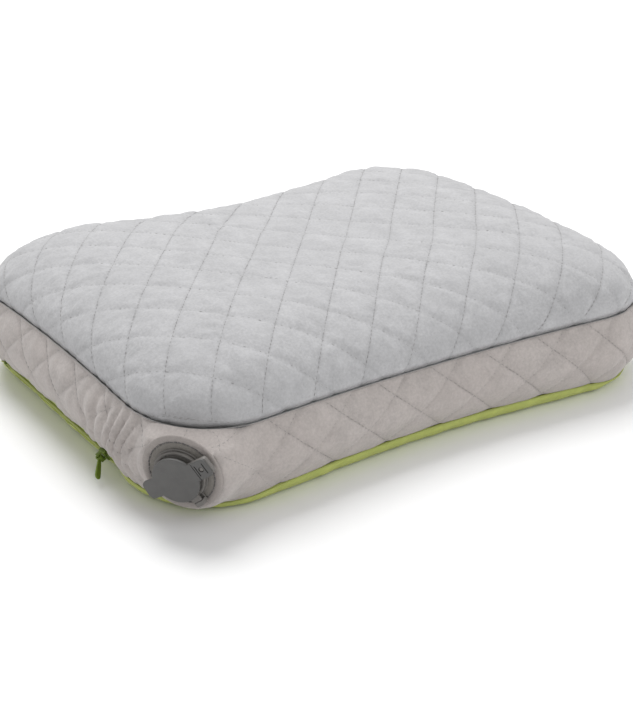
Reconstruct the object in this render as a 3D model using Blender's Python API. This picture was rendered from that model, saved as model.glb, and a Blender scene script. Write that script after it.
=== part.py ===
"""Camp pillow: an air bladder in a quilted cover, with a two-stage valve and a zipper under one end.

Metres, +Z up. X runs along the pillow and Y across it. The origin is on the resting face, under the middle.
"""

import math

import bmesh
import bpy
import numpy as np
from mathutils import Matrix, Vector

# Sewn body of the cover
SEAM_LENGTH = 0.364  # top seam, end to end
SEAM_WIDTH = 0.291  # top seam, side to side, near the ends
CORNER_RADIUS = 0.058
WAIST = 0.0117  # how far each long side draws in at its middle
SEAM_HEIGHT = 0.0599  # top seam at the middle of an end
CORNER_DROP = 0.0078  # how much lower the top seam is at the corners
WAIST_DROP = 0.0078  # and at the middle of a long side
CROWN = 0.0384  # rise of the top over its seam
CROWN_DIP = 0.0068  # how much lower the middle is than the two ends of the crown
CROWN_FLATNESS = 4.6
CROWN_EDGE = 0.47
BASE_SEAM_HEIGHT = 0.0135
BASE_CORNER_DROP = 0.0056  # the base seam runs lower and further in at the corners
BASE_CORNER_INSET = 0.0044
BASE_CORNER_START = 0.52
BASE_CORNER_END = 0.92
BAND_BULGE = 0.008
RIM_WIDTH = 0.014  # from the base seam in to the flat of the base

# Layers, from the outside in
FABRIC = 0.001
TOP_WADDING = 0.004
BAND_WADDING = 0.003
SEAM_TAPE = 0.0008
FILM = 0.0008
CLEARANCE = 0.0003
SEAM_GAP = 0.0006

# Rows of the body from the crown to the base, as shares of each panel
TOP_ROWS = (0.45, 0.7, 0.85, 0.94, 0.985, 1.0)
BAND_ROWS = (0.05, 0.25, 0.5, 0.75, 0.92, 1.0)
RIM_ROWS = (0.5, 1.0)
VALVE_CORNER_STEPS = 12
CORNER_STEPS = 5
LONG_STEPS = 6
SHORT_STEPS = 4

# Valve: where it stands and the ground made flat for it
VALVE_CORNER_ANGLE = math.radians(225)  # round the corner's own centre
VALVE_FACING = math.radians(216.5)
VALVE_TILT = math.radians(7)  # it looks a little downwards
VALVE_HEIGHT = 0.034
VALVE_STANDOFF = 0.002
FLAT_RADIUS = 0.0195
FLAT_FALL = 0.003
FLAT_FALL_WIDTH = 0.010
FLAT_BLEND_START = 0.024
FLAT_BLEND_END = 0.036
VALVE_REACH = 0.030

# Valve pieces, radii and heights over the band
PATCH_RADIUS = 0.0188
NECK_RADIUS = 0.0135
NECK_BORE = 0.0115
FLANGE_RADIUS = 0.0149
FLANGE_THICKNESS = 0.0012
FLANGE_SETBACK = 0.0005
WADDING_HOLE = 0.0295
FILM_FLAT = 0.0225
FILM_FLAT_END = 0.029
LIP_RADIUS = 0.0148
LIP_HEIGHT = 0.0020
LIP_WALL = 0.0016
SHOULDER = 0.0002
STRAP_RING_WIDTH = 0.0018
STRAP_RING_THICKNESS = 0.00095
PLUG_HEAD = 0.0012
PLUG_DEPTH = 0.0066  # of the plug under its head
PLUG_NECK_RADIUS = 0.0095
PLUG_NECK_BORE = 0.0077
PLUG_NECK_HEIGHT = 0.0028
GRID_THICKNESS = 0.001
GRID_BAR = 0.0013
HUB_RADIUS = 0.0026
FLAP_RADIUS = 0.0094
FLAP_THICKNESS = 0.0008
FLAP_TRAVEL = 0.0012
STEM_RADIUS = 0.001
BARB_RADIUS = 0.0019
BARB_HEIGHT = 0.0007
CAP_RADIUS = 0.0137
CAP_THICKNESS = 0.0018
CAP_SKIRT = 0.0015
CAP_SKIRT_SLACK = 0.0005
CAP_SKIRT_WALL = 0.0015
STRAP_THICKNESS = 0.0012
CAP_STRAP_WAY = math.radians(34)
CAP_STRAP_WIDTH = 0.0107
CAP_FOLD = 0.015  # from the cap's centre to its fold
CAP_STRAP_END = 0.024
PEG_DISTANCE = 0.019
PEG_RADIUS = 0.0012
THUMB_TAB_WIDTH = 0.009
THUMB_TAB_END = 0.021
THUMB_TAB_WAY = CAP_STRAP_WAY + math.radians(176)
PLUG_STRAP_WAY = math.radians(-52)
PLUG_STRAP_WIDTH = 0.006
PLUG_FOLD = 0.0172
PLUG_LUG_END = 0.0200

# Zipper under the end at -X
ZIP_FRONT = -0.066
ZIP_BACK = 0.085
ZIP_LEAN = math.radians(31.5)  # how far its face looks downwards
ZIP_WINDOW = 0.0086
ZIP_TAPE_WIDTH = 0.0062
ZIP_TAPE_THICKNESS = 0.0006
ZIP_TAPE_DEPTH = 0.0019
COIL_WIDTH = 0.0018
COIL_THICKNESS = 0.0013
STOP_LENGTH = 0.002
SLIDER_LENGTH = 0.0085
SLIDER_WIDTH = 0.0068
SLIDER_PLATE = 0.0012
BAIL_RADIUS = 0.0006
BAIL_SPAN = 0.0052
POST_WIDTH = 0.0012
PULL_LENGTH = 0.0145
PULL_WIDTH = 0.0046
PULL_THICKNESS = 0.0012
PULL_EYE = 0.002
PULL_EYE_WIDTH = 0.003
PULL_HOLE = 0.00115
PULL_SAG = math.radians(8)  # the pull hangs askew on its bar
PULL_LIFT = math.radians(42)  # the pull's angle to the zipper at rest

ROUND_STEPS = 32
SMALL_STEPS = 12

HALF_LENGTH = SEAM_LENGTH / 2
HALF_WIDTH = SEAM_WIDTH / 2


def clear_scene():
    for item in list(bpy.data.objects):
        bpy.data.objects.remove(item, do_unlink=True)


def material(name, colour, roughness, metallic=0.0):
    made = bpy.data.materials.new(name)
    made.use_nodes = True
    shader = made.node_tree.nodes["Principled BSDF"]
    shader.inputs["Base Color"].default_value = (*colour, 1.0)
    shader.inputs["Roughness"].default_value = roughness
    shader.inputs["Metallic"].default_value = metallic
    return made


def add_object(name, mesh_source, colour=(0.5, 0.5, 0.5), roughness=0.7, smooth=math.radians(35)):
    """A named object from a bmesh, with a material of its own."""
    mesh = bpy.data.meshes.new(name)
    mesh_source.to_mesh(mesh)
    mesh_source.free()
    mesh.shade_smooth()
    mesh.set_sharp_from_angle(angle=smooth)
    made = bpy.data.objects.new(name, mesh)
    bpy.context.scene.collection.objects.link(made)
    mesh.materials.append(material(name, colour, roughness))
    return made


def boolean(target, tool, operation, solver="EXACT"):
    """Cuts or joins with another object, which stays behind as a hidden guide."""
    tool.hide_render = True
    tool.display_type = "WIRE"
    change = target.modifiers.new(tool.name, "BOOLEAN")
    change.operation = operation
    change.solver = solver
    change.object = tool


def place(item, frame, origin=(0.0, 0.0, 0.0)):
    """Stands an object, modelled in a frame's coordinates, in that frame, with its own origin at a point of it."""
    shift = Vector(origin)
    item.data.transform(Matrix.Translation(-shift))
    item.matrix_world = frame @ Matrix.Translation(shift)
    return item


# ---------------------------------------------------------------- the sewn body


def outline():
    """Points round the top seam and the way out at each, anticlockwise from the valve's corner, before the waist."""
    centre = np.array([HALF_LENGTH - CORNER_RADIUS, HALF_WIDTH - CORNER_RADIUS])
    signs = np.array([(-1, -1), (1, -1), (1, 1), (-1, 1)])
    corner_steps = (VALVE_CORNER_STEPS, CORNER_STEPS, CORNER_STEPS, CORNER_STEPS)
    side_steps = (LONG_STEPS, SHORT_STEPS, LONG_STEPS, SHORT_STEPS)
    points, ways = [], []
    for k in range(4):
        for step in range(corner_steps[k] + 1):
            angle = math.pi + (k + step / corner_steps[k]) * math.pi / 2
            way = np.array([math.cos(angle), math.sin(angle)])
            points.append(signs[k] * centre + way * CORNER_RADIUS)
            ways.append(way)
        run = signs[(k + 1) % 4] * centre - signs[k] * centre
        start = points[-1]
        for step in range(1, side_steps[k]):
            points.append(start + run * step / side_steps[k])
            ways.append(ways[-1])
    return np.array(points), np.array(ways)


def waisted(points):
    draw = 1 - WAIST / HALF_WIDTH * (1 - (points[:, 0] / HALF_LENGTH) ** 2) ** 2
    return np.column_stack([points[:, 0], points[:, 1] * draw])


def smooth_step(x):
    x = np.clip(x, 0.0, 1.0)
    return x * x * (3 - 2 * x)


def valve_frame():
    """Matrix of the valve: local Z out of the pillow, X level, Y up."""
    across = np.array([math.cos(VALVE_CORNER_ANGLE), math.sin(VALVE_CORNER_ANGLE)])
    corner = -np.array([HALF_LENGTH - CORNER_RADIUS, HALF_WIDTH - CORNER_RADIUS])
    foot = corner + across * (CORNER_RADIUS + BAND_BULGE + VALVE_STANDOFF)
    flat = Vector((math.cos(VALVE_FACING), math.sin(VALVE_FACING), 0.0))
    out = flat * math.cos(VALVE_TILT) - Vector((0, 0, math.sin(VALVE_TILT)))
    level = Vector((0, 0, 1)).cross(out).normalized()
    up = out.cross(level)
    turn = Matrix((level, up, out)).transposed().to_4x4()
    return Matrix.Translation((foot[0], foot[1], VALVE_HEIGHT)) @ turn


def flattened(points, share):
    """Band points near the valve, brought onto the flat ground that it stands on."""
    frame = valve_frame()
    origin = np.array(frame.translation)
    out = np.array(frame.col[2])[:3]
    rel = points - origin
    height = rel @ out
    radius = np.linalg.norm(rel - height[:, None] * out, axis=1)
    beyond = np.maximum(0.0, radius - FLAT_RADIUS) / FLAT_FALL_WIDTH
    ground = -FLAT_FALL * beyond**2
    fade = smooth_step((FLAT_BLEND_END - radius) / (FLAT_BLEND_END - FLAT_BLEND_START))
    near_seam = min(1.0, min(share, 1 - share) / BAND_ROWS[0])
    weight = np.where(height > -VALVE_REACH, fade, 0.0) * near_seam
    return points + out * ((ground - height) * weight)[:, None]


def body_rings():
    """Rings of points over the whole sewn body, from near the crown's middle down to the edge of the flat base."""
    raw, ways = outline()
    seam = waisted(raw)
    along = raw[:, 0] / HALF_LENGTH
    across = raw[:, 1] / HALF_WIDTH
    corner = (along * across) ** 2
    middle = (1 - along**2) ** 2
    seam_z = SEAM_HEIGHT - CORNER_DROP * corner - WAIST_DROP * middle * np.abs(across)
    turn_in = smooth_step((np.abs(along * across) - BASE_CORNER_START) / (BASE_CORNER_END - BASE_CORNER_START))
    base_z = BASE_SEAM_HEIGHT - BASE_CORNER_DROP * turn_in
    foot = waisted(raw - ways * (BASE_CORNER_INSET * turn_in)[:, None])
    rings = []
    for r in TOP_ROWS:
        rise = CROWN - CROWN_DIP * (1 - (r * along) ** 2) ** 2
        z = SEAM_HEIGHT + (seam_z - SEAM_HEIGHT) * r**3 + rise * (1 - r**CROWN_FLATNESS) ** CROWN_EDGE
        rings.append(np.column_stack([seam * r, z]))
    for v in BAND_ROWS:
        flat = seam * (1 - v) + foot * v + ways * BAND_BULGE * math.sin(math.pi * v)
        ring = np.column_stack([flat, seam_z * (1 - v) + base_z * v])
        rings.append(flattened(ring, v))
    for v in RIM_ROWS:
        flat = foot - ways * RIM_WIDTH * v
        rings.append(np.column_stack([flat, base_z * (1 - v) ** 2]))
    return np.array(rings)


TOP_SEAM = len(TOP_ROWS) - 1
BASE_SEAM = TOP_SEAM + len(BAND_ROWS)
LAST_RING = BASE_SEAM + len(RIM_ROWS)
CROWN_TOP = np.array([0.0, 0.0, SEAM_HEIGHT + CROWN - CROWN_DIP])


def sunk(rings, depths):
    """The body's rings, each moved inwards so that every row of faces lies at its own depth.

    depths has one value for the cap of the crown, one for each row of faces, and one for the flat base."""
    rows, count = rings.shape[:2]
    top = np.broadcast_to(CROWN_TOP, rings[0].shape)
    bottom = np.broadcast_to([0.0, 0.0, 0.0], rings[0].shape)
    padded = np.concatenate([top[None], rings, bottom[None]])
    upper = padded[:-1]
    lower = padded[1:]
    diagonal_a = np.roll(lower, -1, axis=1) - upper
    diagonal_b = lower - np.roll(upper, -1, axis=1)
    normals = np.cross(diagonal_b, diagonal_a)
    normals /= np.linalg.norm(normals, axis=2, keepdims=True)
    result = np.empty_like(rings)
    for j in range(rows):
        for i in range(count):
            faces = [(j, i - 1), (j, i), (j + 1, i - 1), (j + 1, i)]
            near = np.array([normals[f] for f in faces])
            depth = np.array([depths[f[0]] for f in faces])
            mean = near.mean(axis=0)
            mean /= np.linalg.norm(mean)
            matrix = near.T @ near + 0.3 * (np.eye(3) - np.outer(mean, mean))
            result[j, i] = rings[j, i] - np.linalg.solve(matrix, near.T @ depth)
    return result


def level(top, band, rim=None, flat=None):
    """Depths for sunk: one for the top, one for the band, and for the base its rim and its flat."""
    rim = band if rim is None else rim
    flat = rim if flat is None else flat
    return [top] * (TOP_SEAM + 1) + [band] * len(BAND_ROWS) + [rim] * len(RIM_ROWS) + [flat]


def drawn_back(rings, first, last, trim_first, trim_last):
    """Some of the rings, with an edge drawn back from its seam by half the seam's gap."""
    part = rings[first : last + 1].copy()
    if trim_first:
        way = part[1] - part[0]
        part[0] += way / np.linalg.norm(way, axis=1, keepdims=True) * SEAM_GAP / 2
    if trim_last:
        way = part[-2] - part[-1]
        part[-1] += way / np.linalg.norm(way, axis=1, keepdims=True) * SEAM_GAP / 2
    return part


def ring_faces(mesh, rings, flip):
    """Triangles between neighbouring rings of vertices, cut the same way in every layer, so that layers nest."""
    count = len(rings[0])
    for upper, lower in zip(rings[:-1], rings[1:]):
        for i in range(count):
            n = (i + 1) % count
            for corners in ([upper[i], lower[i], lower[n]], [upper[i], lower[n], upper[n]]):
                mesh.faces.new(corners[::-1] if flip else corners)


def fan_faces(mesh, pole, ring, flip):
    count = len(ring)
    for i in range(count):
        corners = [pole, ring[i], ring[(i + 1) % count]]
        mesh.faces.new(corners[::-1] if flip else corners)


def shell(outer, inner, poles=(None, None), foot_poles=(None, None)):
    """A closed wall between two sets of rings. Poles close it over the crown, foot poles across the base."""
    mesh = bmesh.new()
    out = [[mesh.verts.new(p) for p in ring] for ring in outer]
    back = [[mesh.verts.new(p) for p in ring] for ring in inner]
    ring_faces(mesh, out, False)
    ring_faces(mesh, back, True)
    if poles[0] is None:
        ring_faces(mesh, [back[0], out[0]], False)
    else:
        fan_faces(mesh, mesh.verts.new(poles[0]), out[0], False)
        fan_faces(mesh, mesh.verts.new(poles[1]), back[0], True)
    if foot_poles[0] is None:
        ring_faces(mesh, [out[-1], back[-1]], False)
    else:
        fan_faces(mesh, mesh.verts.new(foot_poles[0]), out[-1], True)
        fan_faces(mesh, mesh.verts.new(foot_poles[1]), back[-1], False)
    return mesh


def under_crown(depth):
    return CROWN_TOP - np.array([0.0, 0.0, depth])


# ---------------------------------------------------------------- simple solids


def turned(profile, steps=ROUND_STEPS, centre=(0.0, 0.0)):
    """A solid turned about local Z. A profile that starts and ends on the axis is solid, any other is a ring."""
    mesh = bmesh.new()
    rings = []
    for radius, height in profile:
        if radius < 1e-9:
            rings.append([mesh.verts.new((centre[0], centre[1], height))])
            continue
        turn = [2 * math.pi * k / steps for k in range(steps)]
        rings.append(
            [mesh.verts.new((centre[0] + radius * math.cos(a), centre[1] + radius * math.sin(a), height)) for a in turn]
        )
    closed = len(rings[0]) > 1
    pairs = list(zip(rings, rings[1:] + rings[:1])) if closed else list(zip(rings[:-1], rings[1:]))
    for a, b in pairs:
        if len(a) == 1:
            fan_faces(mesh, a[0], b, False)
        elif len(b) == 1:
            fan_faces(mesh, b[0], a, True)
        else:
            ring_faces(mesh, [a, b], False)
    return mesh


def extruded(points, low, high):
    """A flat outline raised along local Z."""
    mesh = bmesh.new()
    bottom = [mesh.verts.new((x, y, low)) for x, y in points]
    top = [mesh.verts.new((x, y, high)) for x, y in points]
    mesh.faces.new(bottom[::-1])
    mesh.faces.new(top)
    count = len(points)
    for i in range(count):
        n = (i + 1) % count
        mesh.faces.new([bottom[i], bottom[n], top[n], top[i]])
    return mesh


def tongue(way, start, end, width, low, high, corner=0.0):
    """A flat bar that runs outwards from the axis along a way, with its far corners cut when corner is set."""
    half = width / 2
    points = [(start, -half), (end - corner, -half), (end, -half + corner), (end, half - corner)]
    points += [(end - corner, half), (start, half)]
    if corner == 0.0:
        points = [(start, -half), (end, -half), (end, half), (start, half)]
    turn = Matrix.Rotation(way, 2)
    return extruded([tuple(turn @ Vector(p)) for p in points], low, high)


def box(low, high):
    return extruded([(low[0], low[1]), (high[0], low[1]), (high[0], high[1]), (low[0], high[1])], low[2], high[2])


# ---------------------------------------------------------------- cover and core

LIGHT_GREY = (0.50, 0.50, 0.52)
BAND_GREY = (0.42, 0.38, 0.36)
WHITE_FILL = (0.80, 0.80, 0.78)
GREEN = (0.30, 0.40, 0.09)
DARK_GREEN = (0.16, 0.24, 0.03)
VALVE_GREY = (0.10, 0.10, 0.095)
FILM_GREY = (0.62, 0.64, 0.66)

WADDING_IN_TOP = FABRIC + CLEARANCE
WADDING_IN_BAND = FABRIC + CLEARANCE
TAPE_IN_TOP = WADDING_IN_TOP + TOP_WADDING + CLEARANCE
TAPE_IN_BAND = WADDING_IN_BAND + BAND_WADDING + CLEARANCE
CORE_IN_TOP = TAPE_IN_TOP + SEAM_TAPE + CLEARANCE
CORE_IN_BAND = TAPE_IN_BAND + SEAM_TAPE + CLEARANCE
CORE_OVER_BASE = FABRIC + CLEARANCE


def build_cover(rings, bore):
    panel_back = sunk(rings, level(FABRIC, FABRIC))
    top = shell(
        drawn_back(rings, 0, TOP_SEAM, False, True),
        drawn_back(panel_back, 0, TOP_SEAM, False, True),
        poles=(CROWN_TOP, under_crown(FABRIC)),
    )
    add_object("top_panel", top, LIGHT_GREY, 0.9)

    band = shell(
        drawn_back(rings, TOP_SEAM, BASE_SEAM, True, True),
        drawn_back(panel_back, TOP_SEAM, BASE_SEAM, True, True),
    )
    band = add_object("side_band", band, BAND_GREY, 0.9)
    boolean(band, bore, "DIFFERENCE")

    base = shell(
        drawn_back(rings, BASE_SEAM, LAST_RING, True, False),
        drawn_back(panel_back, BASE_SEAM, LAST_RING, True, False),
        foot_poles=((0, 0, 0), (0, 0, FABRIC)),
    )
    base = add_object("base_panel", base, GREEN, 0.75)
    return band, base


def build_fill(rings, frame):
    front = sunk(rings, level(WADDING_IN_TOP, WADDING_IN_BAND))
    back = sunk(rings, level(WADDING_IN_TOP + TOP_WADDING, WADDING_IN_BAND + BAND_WADDING))
    top = shell(
        drawn_back(front, 0, TOP_SEAM, False, True),
        drawn_back(back, 0, TOP_SEAM, False, True),
        poles=(under_crown(WADDING_IN_TOP), under_crown(WADDING_IN_TOP + TOP_WADDING)),
    )
    add_object("top_wadding", top, WHITE_FILL, 1.0)

    last = BASE_SEAM - 2
    band = shell(
        drawn_back(front, TOP_SEAM, last, True, False),
        drawn_back(back, TOP_SEAM, last, True, False),
    )
    band = add_object("band_wadding", band, WHITE_FILL, 1.0)
    reach = VALVE_REACH
    hole = turned([(0, reach), (WADDING_HOLE, reach), (WADDING_HOLE, -reach), (0, -reach)])
    boolean(band, place(add_object("wadding_hole", hole), frame), "DIFFERENCE")

    tape_front = sunk(rings, level(TAPE_IN_TOP, TAPE_IN_BAND))
    tape_back = sunk(rings, level(TAPE_IN_TOP + SEAM_TAPE, TAPE_IN_BAND + SEAM_TAPE))
    tape = shell(tape_front[TOP_SEAM - 1 : TOP_SEAM + 1], tape_back[TOP_SEAM - 1 : TOP_SEAM + 1])
    add_object("top_seam_tape", tape, LIGHT_GREY, 0.85)


def film_rings(rings, frame, extra):
    """One face of the film: it keeps behind the wadding, and comes up behind the cover's fabric at the valve."""
    depth_top, depth_band, depth_base = CORE_IN_TOP + extra, CORE_IN_BAND + extra, CORE_OVER_BASE + extra
    deep = sunk(rings, level(depth_top, depth_band, depth_band, depth_base))
    near = sunk(rings, level(depth_top, FABRIC + CLEARANCE + extra))
    origin = np.array(frame.translation)
    out = np.array(frame.col[2])[:3]
    rel = rings - origin
    height = rel @ out
    radius = np.linalg.norm(rel - height[..., None] * out, axis=2)
    weight = smooth_step((FILM_FLAT_END - radius) / (FILM_FLAT_END - FILM_FLAT))
    weight = np.where(height > -VALVE_REACH, weight, 0.0)
    weight[: TOP_SEAM + 1] = 0.0
    return deep + (near - deep) * weight[..., None]


def build_bladder(rings, frame, bore):
    """The air core: one film all round, open only where the valve's neck comes out."""
    kept = [k for k in range(LAST_RING + 1) if k not in (1, LAST_RING - 1)]
    film = shell(
        film_rings(rings, frame, 0.0)[kept],
        film_rings(rings, frame, FILM)[kept],
        poles=(under_crown(CORE_IN_TOP), under_crown(CORE_IN_TOP + FILM)),
        foot_poles=((0, 0, CORE_OVER_BASE), (0, 0, CORE_OVER_BASE + FILM)),
    )
    film = add_object("air_bladder", film, FILM_GREY, 0.4)
    boolean(film, bore, "DIFFERENCE")


# ---------------------------------------------------------------- valve

PATCH_TOP = CLEARANCE + FABRIC
STRAP_RING_LOW = PATCH_TOP + CLEARANCE
STRAP_RING_HIGH = STRAP_RING_LOW + STRAP_RING_THICKNESS
LIP_LOW = STRAP_RING_HIGH + CLEARANCE
LIP_TOP = LIP_LOW + LIP_HEIGHT
SHOULDER_TOP = LIP_LOW + SHOULDER
HEAD_LOW = SHOULDER_TOP + CLEARANCE
HEAD_TOP = HEAD_LOW + PLUG_HEAD
PLUG_LOW = HEAD_LOW - PLUG_DEPTH
ARM_LOW = LIP_TOP + CLEARANCE
NECK_TOP = HEAD_TOP + PLUG_NECK_HEIGHT
CAP_LOW = NECK_TOP + CLEARANCE
CAP_TOP = CAP_LOW + CAP_THICKNESS
FLANGE_TOP = -(FABRIC + CLEARANCE + FILM + FLANGE_SETBACK)
FLANGE_LOW = FLANGE_TOP - FLANGE_THICKNESS


def build_patch(rings, frame, bore):
    """The fabric ring sewn round the neck: it follows the band, a clearance off it."""
    front = sunk(rings, level(0, -PATCH_TOP))
    back = sunk(rings, level(0, -CLEARANCE))
    patch = shell(front[TOP_SEAM + 1 : BASE_SEAM], back[TOP_SEAM + 1 : BASE_SEAM])
    patch = add_object("valve_patch", patch, BAND_GREY, 0.9)
    reach = VALVE_REACH / 2
    disc = [(0, reach), (PATCH_RADIUS, reach), (PATCH_RADIUS, -reach), (0, -reach)]
    guide = place(add_object("patch_outline", turned(disc)), frame)
    boolean(patch, guide, "INTERSECT", "MANIFOLD")
    boolean(patch, bore, "DIFFERENCE", "MANIFOLD")


def build_valve_body(frame):
    """Weld flange, neck and lip, moulded in one."""
    profile = [
        (LIP_RADIUS, LIP_TOP),
        (LIP_RADIUS, LIP_LOW),
        (NECK_RADIUS, LIP_LOW),
        (NECK_RADIUS, FLANGE_TOP),
        (FLANGE_RADIUS, FLANGE_TOP),
        (FLANGE_RADIUS, FLANGE_LOW),
        (NECK_BORE, FLANGE_LOW),
        (NECK_BORE, SHOULDER_TOP),
        (LIP_RADIUS - LIP_WALL, SHOULDER_TOP),
        (LIP_RADIUS - LIP_WALL, LIP_TOP),
    ]
    place(add_object("valve_body", turned(profile), VALVE_GREY, 0.55), frame)


def build_strap_ring(frame):
    """The ring that the dump plug's strap is held by, with its lug."""
    inner = NECK_RADIUS + CLEARANCE
    outer = inner + STRAP_RING_WIDTH
    profile = [(outer, STRAP_RING_HIGH), (outer, STRAP_RING_LOW), (inner, STRAP_RING_LOW), (inner, STRAP_RING_HIGH)]
    ring = place(add_object("strap_ring", turned(profile), VALVE_GREY, 0.55), frame)
    fold = PLUG_FOLD + CLEARANCE / 2
    foot = tongue(PLUG_STRAP_WAY, outer - 0.0005, PLUG_LUG_END, PLUG_STRAP_WIDTH, STRAP_RING_LOW, STRAP_RING_HIGH)
    post = tongue(PLUG_STRAP_WAY, fold, PLUG_LUG_END, PLUG_STRAP_WIDTH, STRAP_RING_LOW, ARM_LOW + STRAP_THICKNESS)
    boolean(ring, place(add_object("strap_ring_foot", foot), frame), "UNION")
    boolean(ring, place(add_object("strap_ring_post", post), frame), "UNION")


def build_dump_plug(frame):
    """The plug that lets the air out at once: it holds the flap's grid and carries the cap's strap."""
    radius = NECK_BORE - CLEARANCE
    head = LIP_RADIUS - LIP_WALL - CLEARANCE
    profile = [
        (PLUG_NECK_RADIUS, NECK_TOP),
        (PLUG_NECK_RADIUS, HEAD_TOP),
        (head, HEAD_TOP),
        (head, HEAD_LOW),
        (radius, HEAD_LOW),
        (radius, PLUG_LOW),
        (PLUG_NECK_BORE, PLUG_LOW),
        (PLUG_NECK_BORE, NECK_TOP),
    ]
    plug = place(add_object("dump_plug", turned(profile), VALVE_GREY, 0.55), frame)
    grid_top = PLUG_LOW + GRID_THICKNESS
    reach = PLUG_NECK_BORE + 0.0008
    for k in range(2):
        bar = tongue(k * math.pi / 2 + math.pi / 4, -reach, reach, GRID_BAR, PLUG_LOW, grid_top)
        boolean(plug, place(add_object(f"grid_bar_{k}", bar), frame), "UNION")
    hub = turned([(0, grid_top), (HUB_RADIUS, grid_top), (HUB_RADIUS, PLUG_LOW), (0, PLUG_LOW)], SMALL_STEPS)
    boolean(plug, place(add_object("grid_hub", hub), frame), "UNION")
    hole = STEM_RADIUS + CLEARANCE
    depth = GRID_THICKNESS
    drill = turned([(0, grid_top + depth), (hole, grid_top + depth), (hole, PLUG_LOW - depth), (0, PLUG_LOW - depth)], SMALL_STEPS)
    boolean(plug, place(add_object("stem_hole", drill), frame), "DIFFERENCE")

    root = PLUG_NECK_RADIUS - 0.0006
    arm_top = CAP_TOP - STRAP_THICKNESS - CLEARANCE
    arm_high = min(arm_top, CAP_LOW - CLEARANCE)
    arm = tongue(CAP_STRAP_WAY, root, CAP_STRAP_END, CAP_STRAP_WIDTH - 0.0007, ARM_LOW, arm_high, 0.0018)
    boolean(plug, place(add_object("cap_arm", arm), frame), "UNION")
    seat = tongue(
        CAP_STRAP_WAY,
        CAP_RADIUS + 3 * CLEARANCE,
        CAP_STRAP_END,
        CAP_STRAP_WIDTH - 0.0007,
        arm_high - 0.0004,
        arm_top,
        0.0018,
    )
    boolean(plug, place(add_object("cap_arm_seat", seat), frame), "UNION")
    peg_at = (PEG_DISTANCE * math.cos(CAP_STRAP_WAY), PEG_DISTANCE * math.sin(CAP_STRAP_WAY))
    peg = turned(
        [(0, CAP_TOP - CLEARANCE), (PEG_RADIUS, CAP_TOP - CLEARANCE), (PEG_RADIUS, arm_high), (0, arm_high)],
        SMALL_STEPS,
        peg_at,
    )
    boolean(plug, place(add_object("strap_peg", peg), frame), "UNION")
    leaf_end = PLUG_FOLD - CLEARANCE / 2
    leaf = tongue(PLUG_STRAP_WAY, root, leaf_end, PLUG_STRAP_WIDTH, ARM_LOW, ARM_LOW + STRAP_THICKNESS)
    boolean(plug, place(add_object("plug_leaf", leaf), frame), "UNION")


def build_check_flap(frame):
    """A soft disc under the grid, hung by a barbed stem: air pushes it open inwards only."""
    top = PLUG_LOW - CLEARANCE
    grid_top = PLUG_LOW + GRID_THICKNESS
    barb_low = grid_top + FLAP_TRAVEL + CLEARANCE
    profile = [
        (0, barb_low + BARB_HEIGHT),
        (BARB_RADIUS * 0.6, barb_low + BARB_HEIGHT),
        (BARB_RADIUS, barb_low),
        (STEM_RADIUS, barb_low),
        (STEM_RADIUS, top),
        (FLAP_RADIUS, top),
        (FLAP_RADIUS, top - FLAP_THICKNESS),
        (0, top - FLAP_THICKNESS),
    ]
    place(add_object("check_flap", turned(profile, 24), (0.75, 0.75, 0.73), 0.4), frame)


def build_cap(frame):
    """Cap with its skirt, thumb tab and the leaf of its strap, and the strap's pegged end beyond the fold."""
    skirt = PLUG_NECK_BORE - CAP_SKIRT_SLACK
    skirt_low = CAP_LOW - CAP_SKIRT
    edge = 0.0005
    profile = [
        (0, CAP_TOP),
        (CAP_RADIUS - edge, CAP_TOP),
        (CAP_RADIUS, CAP_TOP - edge),
        (CAP_RADIUS, CAP_LOW),
        (skirt, CAP_LOW),
        (skirt - edge / 2, skirt_low),
        (skirt - CAP_SKIRT_WALL, skirt_low),
        (skirt - CAP_SKIRT_WALL, CAP_LOW),
        (0, CAP_LOW),
    ]
    fold = Vector((CAP_FOLD * math.cos(CAP_STRAP_WAY), CAP_FOLD * math.sin(CAP_STRAP_WAY), CAP_TOP))
    cap = place(add_object("valve_cap", turned(profile, 40), VALVE_GREY, 0.5), frame, fold)
    low = CAP_TOP - STRAP_THICKNESS
    leaf_end = CAP_FOLD - CLEARANCE / 2
    leaf = tongue(CAP_STRAP_WAY, CAP_RADIUS - 0.004, leaf_end, CAP_STRAP_WIDTH, low, CAP_TOP)
    boolean(cap, place(add_object("cap_leaf", leaf), frame), "UNION")
    tab = tongue(THUMB_TAB_WAY, CAP_RADIUS - 0.004, THUMB_TAB_END, THUMB_TAB_WIDTH, low, CAP_TOP, 0.002)
    boolean(cap, place(add_object("thumb_tab", tab), frame), "UNION")

    strap_start = CAP_FOLD + CLEARANCE / 2
    strap = tongue(CAP_STRAP_WAY, strap_start, CAP_STRAP_END, CAP_STRAP_WIDTH, low, CAP_TOP, 0.002)
    strap = place(add_object("cap_strap", strap, VALVE_GREY, 0.5), frame)
    hole = PEG_RADIUS + CLEARANCE
    at = (PEG_DISTANCE * math.cos(CAP_STRAP_WAY), PEG_DISTANCE * math.sin(CAP_STRAP_WAY))
    over = CAP_TOP + STRAP_THICKNESS
    under = low - STRAP_THICKNESS
    drill = turned([(0, over), (hole, over), (hole, under), (0, under)], SMALL_STEPS, at)
    boolean(strap, place(add_object("peg_hole", drill), frame), "DIFFERENCE")


def build_bores(frame):
    """A round cutter along the valve's axis for the cover and for the film."""
    radius = NECK_RADIUS + CLEARANCE
    reach = VALVE_REACH
    profile = [(0, reach / 2), (radius, reach / 2), (radius, -reach / 2), (0, -reach / 2)]
    return place(add_object("neck_bore", turned(profile)), frame)


# ---------------------------------------------------------------- zipper


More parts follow.
